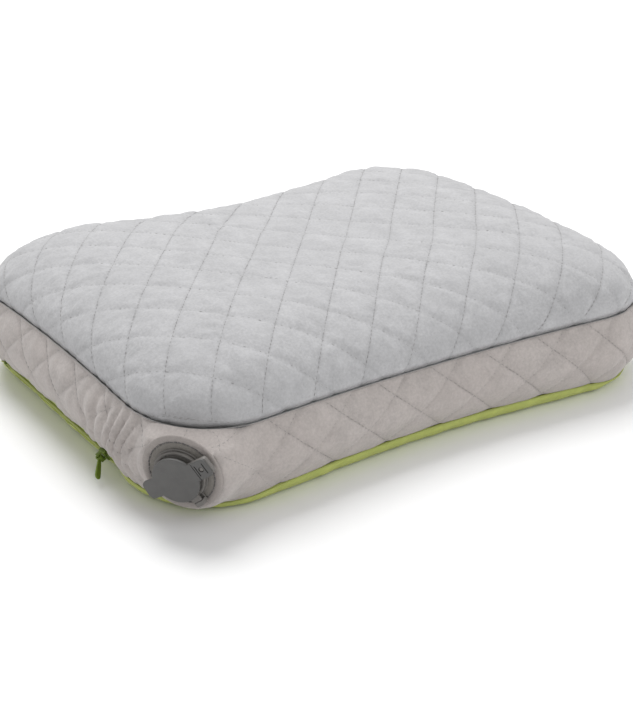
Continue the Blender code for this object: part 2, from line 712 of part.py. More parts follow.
def zip_frame():
    """Matrix of the zipper: local Z out of the pillow, Y along it, X up across it, at the base seam."""
    out = Vector((-math.cos(ZIP_LEAN), 0, -math.sin(ZIP_LEAN)))
    along = Vector((0, 1, 0))
    across = along.cross(out)
    turn = Matrix((across, along, out)).transposed().to_4x4()
    return Matrix.Translation((-HALF_LENGTH, 0, BASE_SEAM_HEIGHT)) @ turn


COIL_BACK = -(ZIP_TAPE_DEPTH - CLEARANCE)
COIL_FRONT = COIL_BACK + COIL_THICKNESS
SLIDER_BACK = COIL_FRONT + CLEARANCE
SLIDER_FRONT = SLIDER_BACK + SLIDER_PLATE
SLIDER_AT = ZIP_FRONT + STOP_LENGTH + CLEARANCE + SLIDER_LENGTH / 2


def cut_zip_window(frame, band, base):
    half = ZIP_WINDOW / 2
    guide = box((-half, ZIP_FRONT - CLEARANCE, -half), (half, ZIP_BACK + CLEARANCE, half))
    guide = place(add_object("zip_window", guide), frame)
    boolean(band, guide, "DIFFERENCE")
    boolean(base, guide, "DIFFERENCE")


def build_zip_sides(frame):
    """Two tapes behind the cover's edges and the two coils that stand on them."""
    half_gap = CLEARANCE / 2
    for side, sign in (("upper", 1), ("lower", -1)):
        near, far = half_gap * sign, (half_gap + ZIP_TAPE_WIDTH) * sign
        low = (min(near, far), ZIP_FRONT, -ZIP_TAPE_DEPTH - ZIP_TAPE_THICKNESS)
        high = (max(near, far), ZIP_BACK, -ZIP_TAPE_DEPTH)
        place(add_object(f"zip_tape_{side}", box(low, high), GREEN, 0.85), frame)
        far = (half_gap + COIL_WIDTH) * sign
        start = ZIP_FRONT + STOP_LENGTH + CLEARANCE
        stop = ZIP_BACK - STOP_LENGTH - CLEARANCE
        low = (min(near, far), start, COIL_BACK)
        high = (max(near, far), stop, COIL_FRONT)
        place(add_object(f"zip_coil_{side}", box(low, high), DARK_GREEN, 0.5), frame)
    half = half_gap + COIL_WIDTH
    for end, y in (("front", ZIP_FRONT), ("back", ZIP_BACK - STOP_LENGTH)):
        stop = box((-half, y, COIL_BACK), (half, y + STOP_LENGTH, COIL_FRONT + 0.0004))
        place(add_object(f"zip_stop_{end}", stop, DARK_GREEN, 0.5), frame)


def build_slider(frame):
    """A saddle over the two coils, with a bar on two posts for the pull."""
    half = SLIDER_WIDTH / 2
    back = SLIDER_AT - SLIDER_LENGTH / 2
    front = SLIDER_AT + SLIDER_LENGTH / 2
    origin = (0, SLIDER_AT, 0)
    plate = box((-half, back, SLIDER_BACK), (half, front, SLIDER_FRONT))
    slider = place(add_object("zip_slider", plate, DARK_GREEN, 0.4), frame, origin)
    inner = CLEARANCE / 2 + COIL_WIDTH + CLEARANCE
    for name, sign in (("upper", 1), ("lower", -1)):
        edges = sorted((inner * sign, half * sign))
        flange = box((edges[0], back, COIL_BACK + CLEARANCE), (edges[1], front, SLIDER_FRONT - 0.0002))
        boolean(slider, place(add_object(f"slider_flange_{name}", flange), frame), "UNION")
    bar_height = SLIDER_FRONT + PULL_EYE + CLEARANCE
    for name, sign in (("upper", 1), ("lower", -1)):
        x = sign * BAIL_SPAN / 2
        post = box(
            (x - POST_WIDTH / 2, SLIDER_AT - POST_WIDTH, SLIDER_FRONT - 0.0002),
            (x + POST_WIDTH / 2, SLIDER_AT + POST_WIDTH, bar_height + BAIL_RADIUS + 0.0002),
        )
        boolean(slider, place(add_object(f"bail_post_{name}", post), frame), "UNION")
    bar = turned(
        [(0, BAIL_SPAN / 2), (BAIL_RADIUS, BAIL_SPAN / 2), (BAIL_RADIUS, -BAIL_SPAN / 2), (0, -BAIL_SPAN / 2)],
        SMALL_STEPS,
    )
    bmesh.ops.rotate(bar, cent=(0, 0, 0), matrix=Matrix.Rotation(math.pi / 2, 3, "Y"), verts=bar.verts)
    bmesh.ops.translate(bar, vec=(0, SLIDER_AT, bar_height), verts=bar.verts)
    boolean(slider, place(add_object("bail_bar", bar), frame), "UNION")
    return frame @ Matrix.Translation((0, SLIDER_AT, bar_height))


def build_pull(bail):
    """The pull hangs from the bar by its eye. Its own local X runs along it and its Z along the hinge's axis."""
    lift = Matrix.Rotation(-math.pi / 2, 4, "Z") @ Matrix.Rotation(-PULL_LIFT, 4, "Y")
    stand = bail @ lift @ Matrix.Rotation(math.pi / 2, 4, "X") @ Matrix.Rotation(-PULL_SAG, 4, "Y")
    half = PULL_EYE_WIDTH / 2
    eye = turned([(0, half), (PULL_EYE, half), (PULL_EYE, -half), (0, -half)], 20)
    pull = place(add_object("zip_pull", eye, DARK_GREEN, 0.5), stand)
    wide = PULL_WIDTH / 2
    tip = PULL_LENGTH - PULL_WIDTH / 2
    side = [(PULL_EYE * 0.7, -half), (PULL_EYE * 2, -wide), (tip, -wide), (PULL_LENGTH, -wide / 2)]
    leaf = extruded(side + [(x, -z) for x, z in reversed(side)], -PULL_THICKNESS / 2, PULL_THICKNESS / 2)
    bmesh.ops.rotate(leaf, cent=(0, 0, 0), matrix=Matrix.Rotation(math.pi / 2, 3, "X"), verts=leaf.verts)
    boolean(pull, place(add_object("pull_leaf", leaf), stand), "UNION")
    hole = [(0, half * 2), (PULL_HOLE, half * 2), (PULL_HOLE, -half * 2), (0, -half * 2)]
    boolean(pull, place(add_object("pull_hole", turned(hole, 20)), stand), "DIFFERENCE")


def main():
    clear_scene()
    rings = body_rings()
    frame = valve_frame()
    bore = build_bores(frame)
    band, base = build_cover(rings, bore)
    build_fill(rings, frame)
    build_bladder(rings, frame, bore)
    build_patch(rings, frame, bore)
    build_valve_body(frame)
    build_strap_ring(frame)
    build_dump_plug(frame)
    build_check_flap(frame)
    build_cap(frame)
    zipper = zip_frame()
    cut_zip_window(zipper, band, base)
    build_zip_sides(zipper)
    build_pull(build_slider(zipper))


main()
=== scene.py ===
"""An inflatable camp pillow in its quilted cover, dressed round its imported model."""

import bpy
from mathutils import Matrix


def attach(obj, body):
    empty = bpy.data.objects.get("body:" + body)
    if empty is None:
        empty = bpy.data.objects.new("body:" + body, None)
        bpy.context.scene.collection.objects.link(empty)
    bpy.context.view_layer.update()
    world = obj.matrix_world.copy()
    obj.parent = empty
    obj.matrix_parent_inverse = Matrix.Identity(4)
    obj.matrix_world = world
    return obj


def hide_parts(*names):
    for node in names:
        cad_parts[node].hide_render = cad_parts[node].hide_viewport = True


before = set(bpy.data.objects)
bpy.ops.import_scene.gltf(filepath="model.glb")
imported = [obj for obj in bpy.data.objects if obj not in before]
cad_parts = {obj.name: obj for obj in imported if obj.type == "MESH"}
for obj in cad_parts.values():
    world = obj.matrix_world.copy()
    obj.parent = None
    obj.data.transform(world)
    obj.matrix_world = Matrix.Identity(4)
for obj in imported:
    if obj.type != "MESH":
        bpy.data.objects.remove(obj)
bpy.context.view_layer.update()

import math

import bmesh
import bpy
import numpy as np
from bpy.props import FloatProperty, FloatVectorProperty, PointerProperty
from mathutils import Matrix, Vector
from mathutils.bvhtree import BVHTree

bl_info = {
    "name": "Camp pillow",
    "version": (1, 0, 0),
    "blender": (4, 5, 0),
    "location": "View3D > Sidebar > Pillow",
    "description": "Makes the cover, valve and zipper of an inflatable camp pillow, piece by piece",
    "category": "Add Mesh",
}


# ---------------------------------------------------------------- sizes and colours


def length(name, default, description):
    return FloatProperty(
        name=name, description=description, default=default, unit="LENGTH", subtype="DISTANCE", precision=5
    )


def angle(name, degrees, description):
    return FloatProperty(
        name=name, description=description, default=math.radians(degrees), unit="ROTATION", subtype="ANGLE"
    )


def number(name, default, description):
    return FloatProperty(name=name, description=description, default=default, precision=3)


def colour(name, default, description):
    return FloatVectorProperty(
        name=name, description=description, default=default, size=3, subtype="COLOR", min=0.0, max=1.0
    )


class PillowBody(bpy.types.PropertyGroup):
    """The sewn body's sizes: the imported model's, and the sag of the band."""

    seam_length: length("Length", 0.364, "Top seam, end to end")
    seam_width: length("Width", 0.291, "Top seam, side to side")
    corner_radius: length("Corner radius", 0.058, "Radius of the seam's corners")
    waist: length("Waist", 0.0117, "How far each long side draws in at its middle")
    seam_height: length("Seam height", 0.0599, "Top seam at the middle of an end")
    corner_drop: length("Corner drop", 0.0078, "How much lower the top seam is at the corners")
    waist_drop: length("Waist drop", 0.0078, "How much lower it is at the middle of a long side")
    crown: length("Crown", 0.0384, "Rise of the top over its seam")
    crown_dip: length("Crown dip", 0.0068, "How much lower the middle is than the crown's two ends")
    crown_flatness: number("Crown flatness", 4.6, "Power of the crown's outline")
    crown_edge: number("Crown edge", 0.47, "Power of the crown's fall to its seam")
    base_seam_height: length("Base seam height", 0.0135, "Base seam along the sides")
    base_corner_drop: length("Base corner drop", 0.0056, "How much lower it runs at the corners")
    base_corner_inset: length("Base corner inset", 0.0044, "And how much further in")
    band_bulge: length("Band bulge", 0.008, "How far the band swells between its seams")
    rim_width: length("Rim", 0.014, "From the base seam in to the flat of the base")
    top_thickness: length("Quilt on top", 0.0053, "Fabric and wadding together")
    band_thickness: length("Quilt of the band", 0.0043, "Fabric and wadding together")
    band_sag: length("Sag of the band", 0.0036, "Of its hem below the base seam, away from the zipper")
    base_thickness: length("Base fabric", 0.001, "Thickness of the base")


class PillowQuilting(bpy.types.PropertyGroup):
    """The diamonds that the cover is quilted in."""

    rising_spacing: length("Rising spacing", 0.0273, "Between two rising lines of the top")
    rising_slant: angle("Rising slant", 50.5, "Of the top's rising lines to its length")
    rising_shift: number("Rising shift", 0.2295, "As a share of the spacing")
    falling_spacing: length("Falling spacing", 0.0280, "Between two falling lines of the top")
    falling_slant: angle("Falling slant", 47.5, "Of the top's falling lines to its length")
    falling_shift: number("Falling shift", 0.793, "As a share of the spacing")
    band_lines: number("Lines of the band", 31.0, "Of each slant, all the way round")
    band_rising_slant: angle("Band's rising slant", 39.8, "Of its rising lines to the seam")
    band_rising_start: length("Band's rising start", 0.0294, "First one, round from the valve's corner")
    band_falling_slant: angle("Band's falling slant", 43.6, "Of its falling lines to the seam")
    band_falling_start: length("Band's falling start", 0.0078, "First one, round from that corner")
    puff: length("Puff", 0.0017, "How far a diamond stands over its stitches")
    groove_depth: length("Groove", 0.0004, "How deep the thread pulls the fabric in")
    groove_width: length("Groove width", 0.0012, "Half width of that groove")
    seam_roll: length("Seam roll", 0.0014, "Width of fabric that turns in to a seam")
    seam_depth: length("Seam depth", 0.0004, "How deep it turns in")
    stitch_pitch: length("Stitch pitch", 0.0031, "From stitch to stitch")
    stitch_length: length("Stitch", 0.0021, "Length of thread that shows")
    thread: length("Thread", 0.00016, "Radius of the thread")


class PillowValve(bpy.types.PropertyGroup):
    """The valve's sizes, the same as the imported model's."""

    facing: angle("Facing", 216.5, "Way that the valve looks, seen from above")
    tilt: angle("Tilt", 7.0, "How far it looks down")
    height: length("Height", 0.034, "Of its middle over the ground")
    standoff: length("Stand-off", 0.002, "Of its flat ground beyond the band")
    hem_radius: length("Hem", 0.0232, "Outer radius of the fabric ring round the neck")
    stitch_radius: length("Stitch ring", 0.0191, "Radius of the stitches on that ring")
    neck_radius: length("Neck", 0.0135, "Outer radius of the neck")
    neck_bore: length("Neck bore", 0.0115, "Inner radius of the neck")
    lip_radius: length("Lip", 0.0148, "Outer radius of the lip")
    cap_radius: length("Cap", 0.0137, "Radius of the cap")
    strap_way: angle("Cap strap", 34.0, "Way of the cap's strap round the valve")
    plug_strap_way: angle("Plug strap", -52.0, "Way of the plug's strap round the valve")


class PillowZip(bpy.types.PropertyGroup):
    """The zipper's sizes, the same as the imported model's."""

    front: length("Front", -0.066, "Front end of the zipper")
    back: length("Back", 0.085, "Back end of the zipper")
    lean: angle("Lean", 31.5, "How far the zipper's face looks down")
    tooth_pitch: length("Tooth pitch", 0.0013, "From tooth to tooth on one side")
    pull_length: length("Pull", 0.0145, "Length of the pull")
    pull_width: length("Pull width", 0.0046, "Width of the pull")


class PillowColours(bpy.types.PropertyGroup):
    """Colours of the fabrics and mouldings."""

    top: colour("Top fabric", (0.458, 0.457, 0.466), "Cool light grey microfibre")
    band: colour("Band fabric", (0.455, 0.418, 0.400), "Warmer grey microfibre")
    base: colour("Base fabric", (0.480, 0.535, 0.150), "Leaf green")
    thread: colour("Thread", (0.255, 0.247, 0.242), "Grey")
    moulding: colour("Valve plastic", (0.170, 0.160, 0.150), "Grey")
    cap: colour("Cap plastic", (0.100, 0.098, 0.095), "Dark grey")
    hem: colour("Valve hem", (0.335, 0.302, 0.285), "Warm grey, outside its stitches")
    hem_inside: colour("Inside of the hem", (0.205, 0.190, 0.172), "Grey brown, inside its stitches")
    pull: colour("Zip pull", (0.145, 0.215, 0.022), "Dark leaf green")
    film: colour("Bladder film", (0.62, 0.64, 0.66), "Milky film")
    wadding: colour("Wadding", (0.80, 0.80, 0.78), "White")


# ---------------------------------------------------------------- shader nodes


class Wire:
    """A shader socket that Python's arithmetic works on."""

    def __init__(self, graph, socket):
        self.graph = graph
        self.socket = socket

    def maths(self, operation, first, second=0.0):
        settings = {"operation": operation}
        return self.graph.wire(self.graph.add("ShaderNodeMath", settings, {0: first, 1: second}))

    def __add__(self, other):
        return self.maths("ADD", self, other)

    def __radd__(self, other):
        return self.maths("ADD", other, self)

    def __sub__(self, other):
        return self.maths("SUBTRACT", self, other)

    def __mul__(self, other):
        return self.maths("MULTIPLY", self, other)

    def __rmul__(self, other):
        return self.maths("MULTIPLY", other, self)

    def __abs__(self):
        return self.maths("ABSOLUTE", self)

    def sine(self):
        return self.maths("SINE", self)


class Graph:
    """A material's node tree, filled through one method."""

    def __init__(self, name):
        self.material = bpy.data.materials.new(name)
        self.material.use_nodes = True
        self.tree = self.material.node_tree
        self.tree.nodes.clear()
        self.object_place = self.wire(self.add("ShaderNodeTexCoord"), "Object")

    def add(self, kind, settings=None, sockets=None):
        node = self.tree.nodes.new(kind)
        for key, value in (settings or {}).items():
            if key == "stops":
                for element, (place, shade) in zip(node.color_ramp.elements, value):
                    element.position = place
                    element.color = (*shade, 1.0)
            else:
                setattr(node, key, value)
        for key, value in (sockets or {}).items():
            if isinstance(value, Wire):
                self.tree.links.new(value.socket, node.inputs[key])
            else:
                node.inputs[key].default_value = value
        return node

    def wire(self, node, output=0):
        return Wire(self, node.outputs[output])

    def noise(self, scale, detail=2.0, roughness=0.5, vector=None):
        sockets = {"Scale": scale, "Detail": detail, "Roughness": roughness}
        sockets["Vector"] = vector or self.object_place
        return self.wire(self.add("ShaderNodeTexNoise", {}, sockets), "Fac")

    def stretched(self, scale, turn=(0.0, 0.0, 0.0)):
        """The object's place, turned and stretched."""
        sockets = {"Vector": self.object_place, "Rotation": turn, "Scale": scale}
        return self.wire(self.add("ShaderNodeMapping", {}, sockets))

    def parts(self, vector):
        node = self.add("ShaderNodeSeparateXYZ", {}, {0: vector})
        return [self.wire(node, k) for k in range(3)]

    def attribute(self, name):
        return self.wire(self.add("ShaderNodeAttribute", {"attribute_name": name}), "Fac")

    def ranged(self, value, low, high, out_low=0.0, out_high=1.0):
        sockets = {"Value": value, "From Min": low, "From Max": high, "To Min": out_low, "To Max": out_high}
        return self.wire(self.add("ShaderNodeMapRange", {}, sockets))

    def mixed(self, share, first, second, blend="MIX"):
        settings = {"data_type": "RGBA", "blend_type": blend}
        node = self.add("ShaderNodeMix", settings, {0: share, 6: first, 7: second})
        return self.wire(node, 2)

    def toned(self, share, shade, dark, pale):
        """The shade multiplied by dark where share is 0 and by pale where it is 1."""
        return self.mixed(share, solid(scaled(shade, dark)), solid(scaled(shade, pale)))

    def finished(self, base, roughness, height=None, depth=0.0005, strength=1.0, **constants):
        sockets = {"Base Color": base, "Roughness": roughness}
        if height is not None:
            relief = {"Height": height, "Distance": depth, "Strength": strength}
            sockets["Normal"] = self.wire(self.add("ShaderNodeBump", {}, relief))
        for key, value in constants.items():
            sockets[key.replace("_", " ")] = value
        shader = self.add("ShaderNodeBsdfPrincipled", {}, sockets)
        self.add("ShaderNodeOutputMaterial", {}, {"Surface": self.wire(shader)})
        return self.material


def solid(shade):
    return (*shade, 1.0)


def scaled(shade, factor):
    return tuple(min(1.0, part * factor) for part in shade)


def microfibre(name, shade, warm):
    """Brushed quilt fabric: its nap lies in patches, with fine fibres and painted shade along the stitches
    and the seam.
    """
    graph = Graph(name)
    fibres = graph.noise(1500.0, 4.0, 0.65)
    specks = graph.noise(620.0, 3.0, 0.6)
    nap = graph.noise(95.0, 3.0, 0.55, graph.stretched((1.0, 0.45, 1.0), (0.0, 0.0, 0.6)))
    cloud = graph.noise(22.0, 2.0, 0.5)
    mottle = specks * 0.45 + nap * 0.35 + fibres * 0.2
    light = graph.toned(graph.ranged(mottle, 0.32, 0.68), shade, 0.80, 1.18)
    tint = graph.mixed(graph.ranged(cloud, 0.35, 0.65), light, solid(warm))
    toned = graph.mixed(0.22, light, tint)
    # painted shade: the fabric is darkened along the quilting stitches and the seam, standing in for the
    # shade in their grooves
    groove = graph.attribute("painted_stitch_shade")
    shaded = graph.mixed(groove * 0.10, toned, solid(scaled(shade, 0.45)))
    height = fibres * 0.35 + specks * 0.45 + nap * 0.5
    roughness = graph.ranged(nap, 0.3, 0.7, 0.86, 0.97)
    sheen = {"Sheen_Weight": 0.28, "Sheen_Roughness": 0.45, "Specular_IOR_Level": 0.22}
    return graph.finished(shaded, roughness, height, 0.0007, 0.55, **sheen)


def woven(name, shade, thread_count):
    """Plain taffeta: two sets of fine threads with a ripstop grid every so often."""
    graph = Graph(name)
    across, along, _ = graph.parts(graph.object_place)
    warp = (across * thread_count).sine()
    weft = (along * thread_count).sine()
    weave = abs(warp) * 0.5 + abs(weft) * 0.5
    cells = thread_count / 12
    grid = graph.ranged(abs((across * cells).sine()), 0.0, 0.12, 1.0, 0.0)
    grid_too = graph.ranged(abs((along * cells).sine()), 0.0, 0.12, 1.0, 0.0)
    ripstop = (grid + grid_too) * 0.5
    crease = graph.noise(38.0, 4.0, 0.6)
    blotch = graph.noise(210.0, 3.0, 0.6)
    tone = graph.ranged(blotch * 0.6 + crease * 0.4, 0.3, 0.7)
    lined = graph.mixed(ripstop * 0.25, graph.toned(tone, shade, 0.88, 1.10), solid(scaled(shade, 1.35)))
    height = weave * 0.3 + ripstop * 0.25 + crease * 0.9
    roughness = graph.ranged(blotch, 0.3, 0.7, 0.66, 0.78)
    sheen = {"Sheen_Weight": 0.1, "Sheen_Roughness": 0.4, "Specular_IOR_Level": 0.35}
    return graph.finished(lined, roughness, height, 0.0005, 0.5, **sheen)


def hem_tape(name, outside, inside):
    """Close-woven hem of the valve's fabric ring, rubbed darker inside its stitches."""
    graph = Graph(name)
    specks = graph.noise(1100.0, 4.0, 0.6)
    worn = graph.noise(130.0, 3.0, 0.6)
    tone = graph.ranged(specks * 0.6 + worn * 0.4, 0.3, 0.7)
    pale = graph.toned(tone, outside, 0.86, 1.14)
    dark = graph.toned(tone, inside, 0.84, 1.16)
    base = graph.mixed(graph.attribute("inside"), pale, dark)
    roughness = graph.ranged(worn, 0.3, 0.7, 0.8, 0.94)
    return graph.finished(base, roughness, specks + worn * 0.6, 0.0004, 0.5, Sheen_Weight=0.2)


def spun_thread(name, shade):
    """Twisted polyester thread."""
    graph = Graph(name)
    twist = graph.noise(2600.0, 2.0, 0.6)
    base = graph.toned(twist, shade, 0.6, 1.5)
    return graph.finished(base, graph.ranged(twist, 0.2, 0.8, 0.6, 0.85), twist, 0.0002, 0.5)


def moulded(name, shade, rough, scuffs=0.5, grain=1900.0):
    """Soft moulded plastic: fine spark-eroded grain and handling marks."""
    graph = Graph(name)
    fine = graph.noise(grain, 3.0, 0.6)
    flow = graph.noise(160.0, 3.0, 0.55)
    scratch = graph.noise(240.0, 4.0, 0.7, graph.stretched((1.0, 7.0, 2.0), (0.3, 0.5, 0.8)))
    marks = graph.ranged(scratch, 0.60, 0.74) * scuffs
    tone = graph.toned(graph.ranged(flow, 0.3, 0.7), shade, 0.90, 1.10)
    base = graph.mixed(marks * 0.25, tone, solid(scaled(shade, 1.9)))
    worn = marks * 0.06
    roughness = graph.ranged(fine * 0.4 + flow * 0.6, 0.3, 0.7, rough - 0.07, rough + 0.09) + worn
    height = fine * 0.6 + flow * 0.3 - marks * 0.3
    return graph.finished(base, roughness, height, 0.00022, 0.4, Specular_IOR_Level=0.42)


def twill_tape(name, shade):
    """Zipper tape: narrow diagonal ribs."""
    graph = Graph(name)
    across, along, up = graph.parts(graph.object_place)
    rib = abs(((along + up - across) * 2600.0).sine())
    fuzz = graph.noise(900.0, 3.0, 0.6)
    base = graph.toned(rib * 0.6 + fuzz * 0.4, shade, 0.7, 1.15)
    return graph.finished(base, graph.ranged(fuzz, 0.3, 0.7, 0.78, 0.92), rib + fuzz * 0.5, 0.0003, 0.6)


def milky_film(name, shade):
    """Laminated bladder film, faintly crinkled."""
    graph = Graph(name)
    crinkle = graph.noise(120.0, 5.0, 0.65)
    haze = graph.noise(18.0, 2.0, 0.5)
    base = graph.toned(graph.ranged(haze, 0.3, 0.7), shade, 0.92, 1.05)
    return graph.finished(base, graph.ranged(crinkle, 0.3, 0.7, 0.28, 0.45), crinkle, 0.0008, 0.6)


def lofty_wadding(name, shade):
    """Carded white fibre."""
    graph = Graph(name)
    fibres = graph.noise(700.0, 5.0, 0.7, graph.stretched((1.0, 0.3, 1.0)))
    base = graph.toned(fibres, shade, 0.85, 1.0)
    return graph.finished(base, graph.ranged(fibres, 0.3, 0.7, 0.9, 0.98), fibres, 0.001, 0.7)


FINISHES = {}


def finish(name):
    """One of the pillow's materials, made once."""
    if name in FINISHES:
        return FINISHES[name]
    shades = bpy.context.scene.pillow_colours
    makers = {
        "top_microfibre": lambda: microfibre(name, shades.top, scaled(shades.top, 0.93)),
        "band_microfibre": lambda: microfibre(name, shades.band, (0.445, 0.395, 0.372)),
        "base_taffeta": lambda: woven(name, shades.base, 9000.0),
        "valve_hem": lambda: hem_tape(name, shades.hem, shades.hem_inside),
        "quilting_thread": lambda: spun_thread(name, shades.thread),
        "seam_thread": lambda: spun_thread(name, scaled(shades.thread, 1.15)),
        "valve_thread": lambda: spun_thread(name, scaled(shades.thread, 0.6)),
        "green_thread": lambda: spun_thread(name, scaled(shades.base, 0.75)),
        "valve_plastic": lambda: moulded(name, shades.moulding, 0.5),
        "cap_plastic": lambda: moulded(name, shades.cap, 0.46, 0.7),
        "pull_rubber": lambda: moulded(name, shades.pull, 0.55, 0.3, 1500.0),
        "slider_enamel": lambda: moulded(name, scaled(shades.pull, 0.8), 0.36, 0.6),
        "coil_nylon": lambda: moulded(name, scaled(shades.base, 0.72), 0.42, 0.2),
        "zip_tape": lambda: twill_tape(name, shades.base),
        "bladder_film": lambda: milky_film(name, shades.film),
        "wadding": lambda: lofty_wadding(name, shades.wadding),
        "flap_silicone": lambda: moulded(name, (0.70, 0.70, 0.68), 0.34, 0.1),
    }
    FINISHES[name] = makers[name]()
    return FINISHES[name]


# ---------------------------------------------------------------- meshes


TINY = 1e-12
TOUCHING = 1e-7


def placed(name, data):
    """A new object of that data, in the scene."""
    made = bpy.data.objects.new(name, data)
    bpy.context.scene.collection.objects.link(made)
    return made


def covered(mesh, finish_name):
    """Gives a mesh its finish and smooth faces."""
    mesh.materials.clear()
    mesh.materials.append(finish(finish_name))
    mesh.shade_smooth()


def piece(name, mesh, finish_name):
    """A named object at the origin with its finish."""
    made = placed(name, mesh)
    covered(mesh, finish_name)
    return made


def mesh_of(name, points, faces):
    mesh = bpy.data.meshes.new(name)
    mesh.from_pydata([tuple(p) for p in points], [], faces)
    mesh.update()
    return mesh


def baked(item, name):
    """The object's evaluated shape as a plain mesh on a new object, in the old one's stead."""
    bpy.context.view_layer.update()
    evaluated = item.evaluated_get(bpy.context.evaluated_depsgraph_get())
    mesh = bpy.data.meshes.new_from_object(evaluated)
    mesh.transform(item.matrix_world)
    bpy.data.objects.remove(item)
    return placed(name, mesh)


def ring_faces(first, second):
    """Quads between two rings of point numbers, facing out when the second lies down or in."""
    count = len(first)
    return [(first[i], second[i], second[(i + 1) % count], first[(i + 1) % count]) for i in range(count)]


def joined_rings(rings, closed=True):
    """Points and faces of rings joined each to the next and, if closed, the last to the first."""
    count = len(rings[0])
    numbers = [list(range(k * count, (k + 1) * count)) for k in range(len(rings))]
    following = numbers[1:] + numbers[:1] if closed else numbers[1:]
    faces = []
    for first, second in zip(numbers, following):
        faces += ring_faces(first, second)
    return np.concatenate(rings), faces


def faced_out(mesh):
    """The same mesh with every face turned outwards."""
    turner = bmesh.new()
    turner.from_mesh(mesh)
    bmesh.ops.recalc_face_normals(turner, faces=turner.faces)
    turner.to_mesh(mesh)
    turner.free()
    return mesh


def smooth_step(x):
    x = np.clip(x, 0.0, 1.0)
    return x * x * (3 - 2 * x)


# ---------------------------------------------------------------- the sewn body's surfaces

CORNERS = np.array([(-1, -1), (1, -1), (1, 1), (-1, 1)])
VALVE_CORNER = math.radians(225)
TURN_IN_START = 0.52
TURN_IN_WIDTH = 0.40
FLAT_RADIUS = 0.0195
FLAT_FALL = 0.003
FLAT_FALL_WIDTH = 0.010
FLAT_BLEND_START = 0.024
FLAT_BLEND_END = 0.036
VALVE_REACH = 0.030
SEAM_SHARE = 0.09
ZIP_MARGIN = 0.003
ZIP_FADE = 0.016
NUDGE = 0.0005
NEAR_MIDDLE = 0.002
NEAR_SEAM = 0.9985
NEAR_EDGE = 0.004


def outline(turn):
    """Seam points before the waist, and the ways out. turn grows by 1 a side, from the valve's corner."""
    body = bpy.context.scene.pillow_body
    side = np.floor(turn).astype(int) % 4
    share = turn - np.floor(turn)
    half = np.array([body.seam_length, body.seam_width]) / 2
    radius = body.corner_radius
    centres = CORNERS * (half - radius)
    straight = np.where(side % 2 == 0, 2 * (half[0] - radius), 2 * (half[1] - radius))
    arc = radius * math.pi / 4
    run = share * (straight + 2 * arc)
    left = straight + 2 * arc - run
    swing = np.where(left < arc, math.pi / 2 - left / radius, math.pi / 4)
    swing = np.where(run < arc, run / radius, swing)
    heading = VALVE_CORNER + side * math.pi / 2 + swing
    ways = np.column_stack([np.cos(heading), np.sin(heading)])
    centre = np.where((left < arc)[:, None], centres[(side + 1) % 4], centres[side])
    onwards = np.column_stack([np.cos(side * math.pi / 2), np.sin(side * math.pi / 2)])
    ahead = np.where((run > arc) & (left > arc), run - arc, 0.0)
    return centre + ways * radius + onwards * ahead[:, None], ways


def waisted(points):
    body = bpy.context.scene.pillow_body
    draw = 2 * body.waist / body.seam_width
    share = (2 * points[:, 0] / body.seam_length) ** 2
    return np.column_stack([points[:, 0], points[:, 1] * (1 - draw * (1 - share) ** 2)])


def clear_of_zip(points):
    """0 along the zipper, 1 round the rest of the base seam."""
    sizes = bpy.context.scene.pillow_zip
    beyond = np.maximum(sizes.front - points[:, 1], points[:, 1] - sizes.back)
    beside = points[:, 0] < -0.4 * bpy.context.scene.pillow_body.seam_length
    return np.where(beside, smooth_step((beyond - ZIP_MARGIN) / ZIP_FADE), 1.0)


def edges(turn):
    """At each turn: the top seam, the base seam, the ways out, and how far along the length it lies."""
    body = bpy.context.scene.pillow_body
    raw, ways = outline(turn)
    along = 2 * raw[:, 0] / body.seam_length
    across = 2 * raw[:, 1] / body.seam_width
    middle = (1 - along**2) ** 2 * np.abs(across)
    seam_z = body.seam_height - body.corner_drop * (along * across) ** 2 - body.waist_drop * middle
    turn_in = smooth_step((np.abs(along * across) - TURN_IN_START) / TURN_IN_WIDTH)
    foot = waisted(raw - ways * (body.base_corner_inset * turn_in)[:, None])
    sag = body.band_sag * clear_of_zip(foot)
    foot_z = body.base_seam_height - body.base_corner_drop * turn_in - sag
    return np.column_stack([waisted(raw), seam_z]), np.column_stack([foot, foot_z]), ways, along


def top_surface(turn, share):
    body = bpy.context.scene.pillow_body
    seam, _, _, along = edges(turn)
    share = np.clip(share, 0.0, 1.0)
    rise = body.crown - body.crown_dip * (1 - (share * along) ** 2) ** 2
    fall = (1 - share**body.crown_flatness) ** body.crown_edge
    z = body.seam_height + (seam[:, 2] - body.seam_height) * share**3 + rise * fall
    return np.column_stack([seam[:, :2] * share[:, None], z])


def valve_frame():
    """Matrix of the valve: local Z out of the pillow, X level, Y up."""
    body = bpy.context.scene.pillow_body
    valve = bpy.context.scene.pillow_valve
    across = Vector((math.cos(VALVE_CORNER), math.sin(VALVE_CORNER), 0.0))
    radius = body.corner_radius
    corner = Vector((radius - body.seam_length / 2, radius - body.seam_width / 2, valve.height))
    foot = corner + across * (radius + body.band_bulge + valve.standoff)
    flat = Vector((math.cos(valve.facing), math.sin(valve.facing), 0.0))
    out = flat * math.cos(valve.tilt) - Vector((0, 0, math.sin(valve.tilt)))
    level = Vector((0, 0, 1)).cross(out).normalized()
    turn = Matrix((level, out.cross(level), out)).transposed().to_4x4()
    return Matrix.Translation(foot) @ turn


def from_valve(points):
    """The way the valve looks, and points' heights along it and distances from its axis."""
    place = valve_frame()
    out = np.array(place.col[2])[:3]
    rel = points - np.array(place.translation)
    height = rel @ out
    return out, height, np.linalg.norm(rel - height[:, None] * out, axis=1)


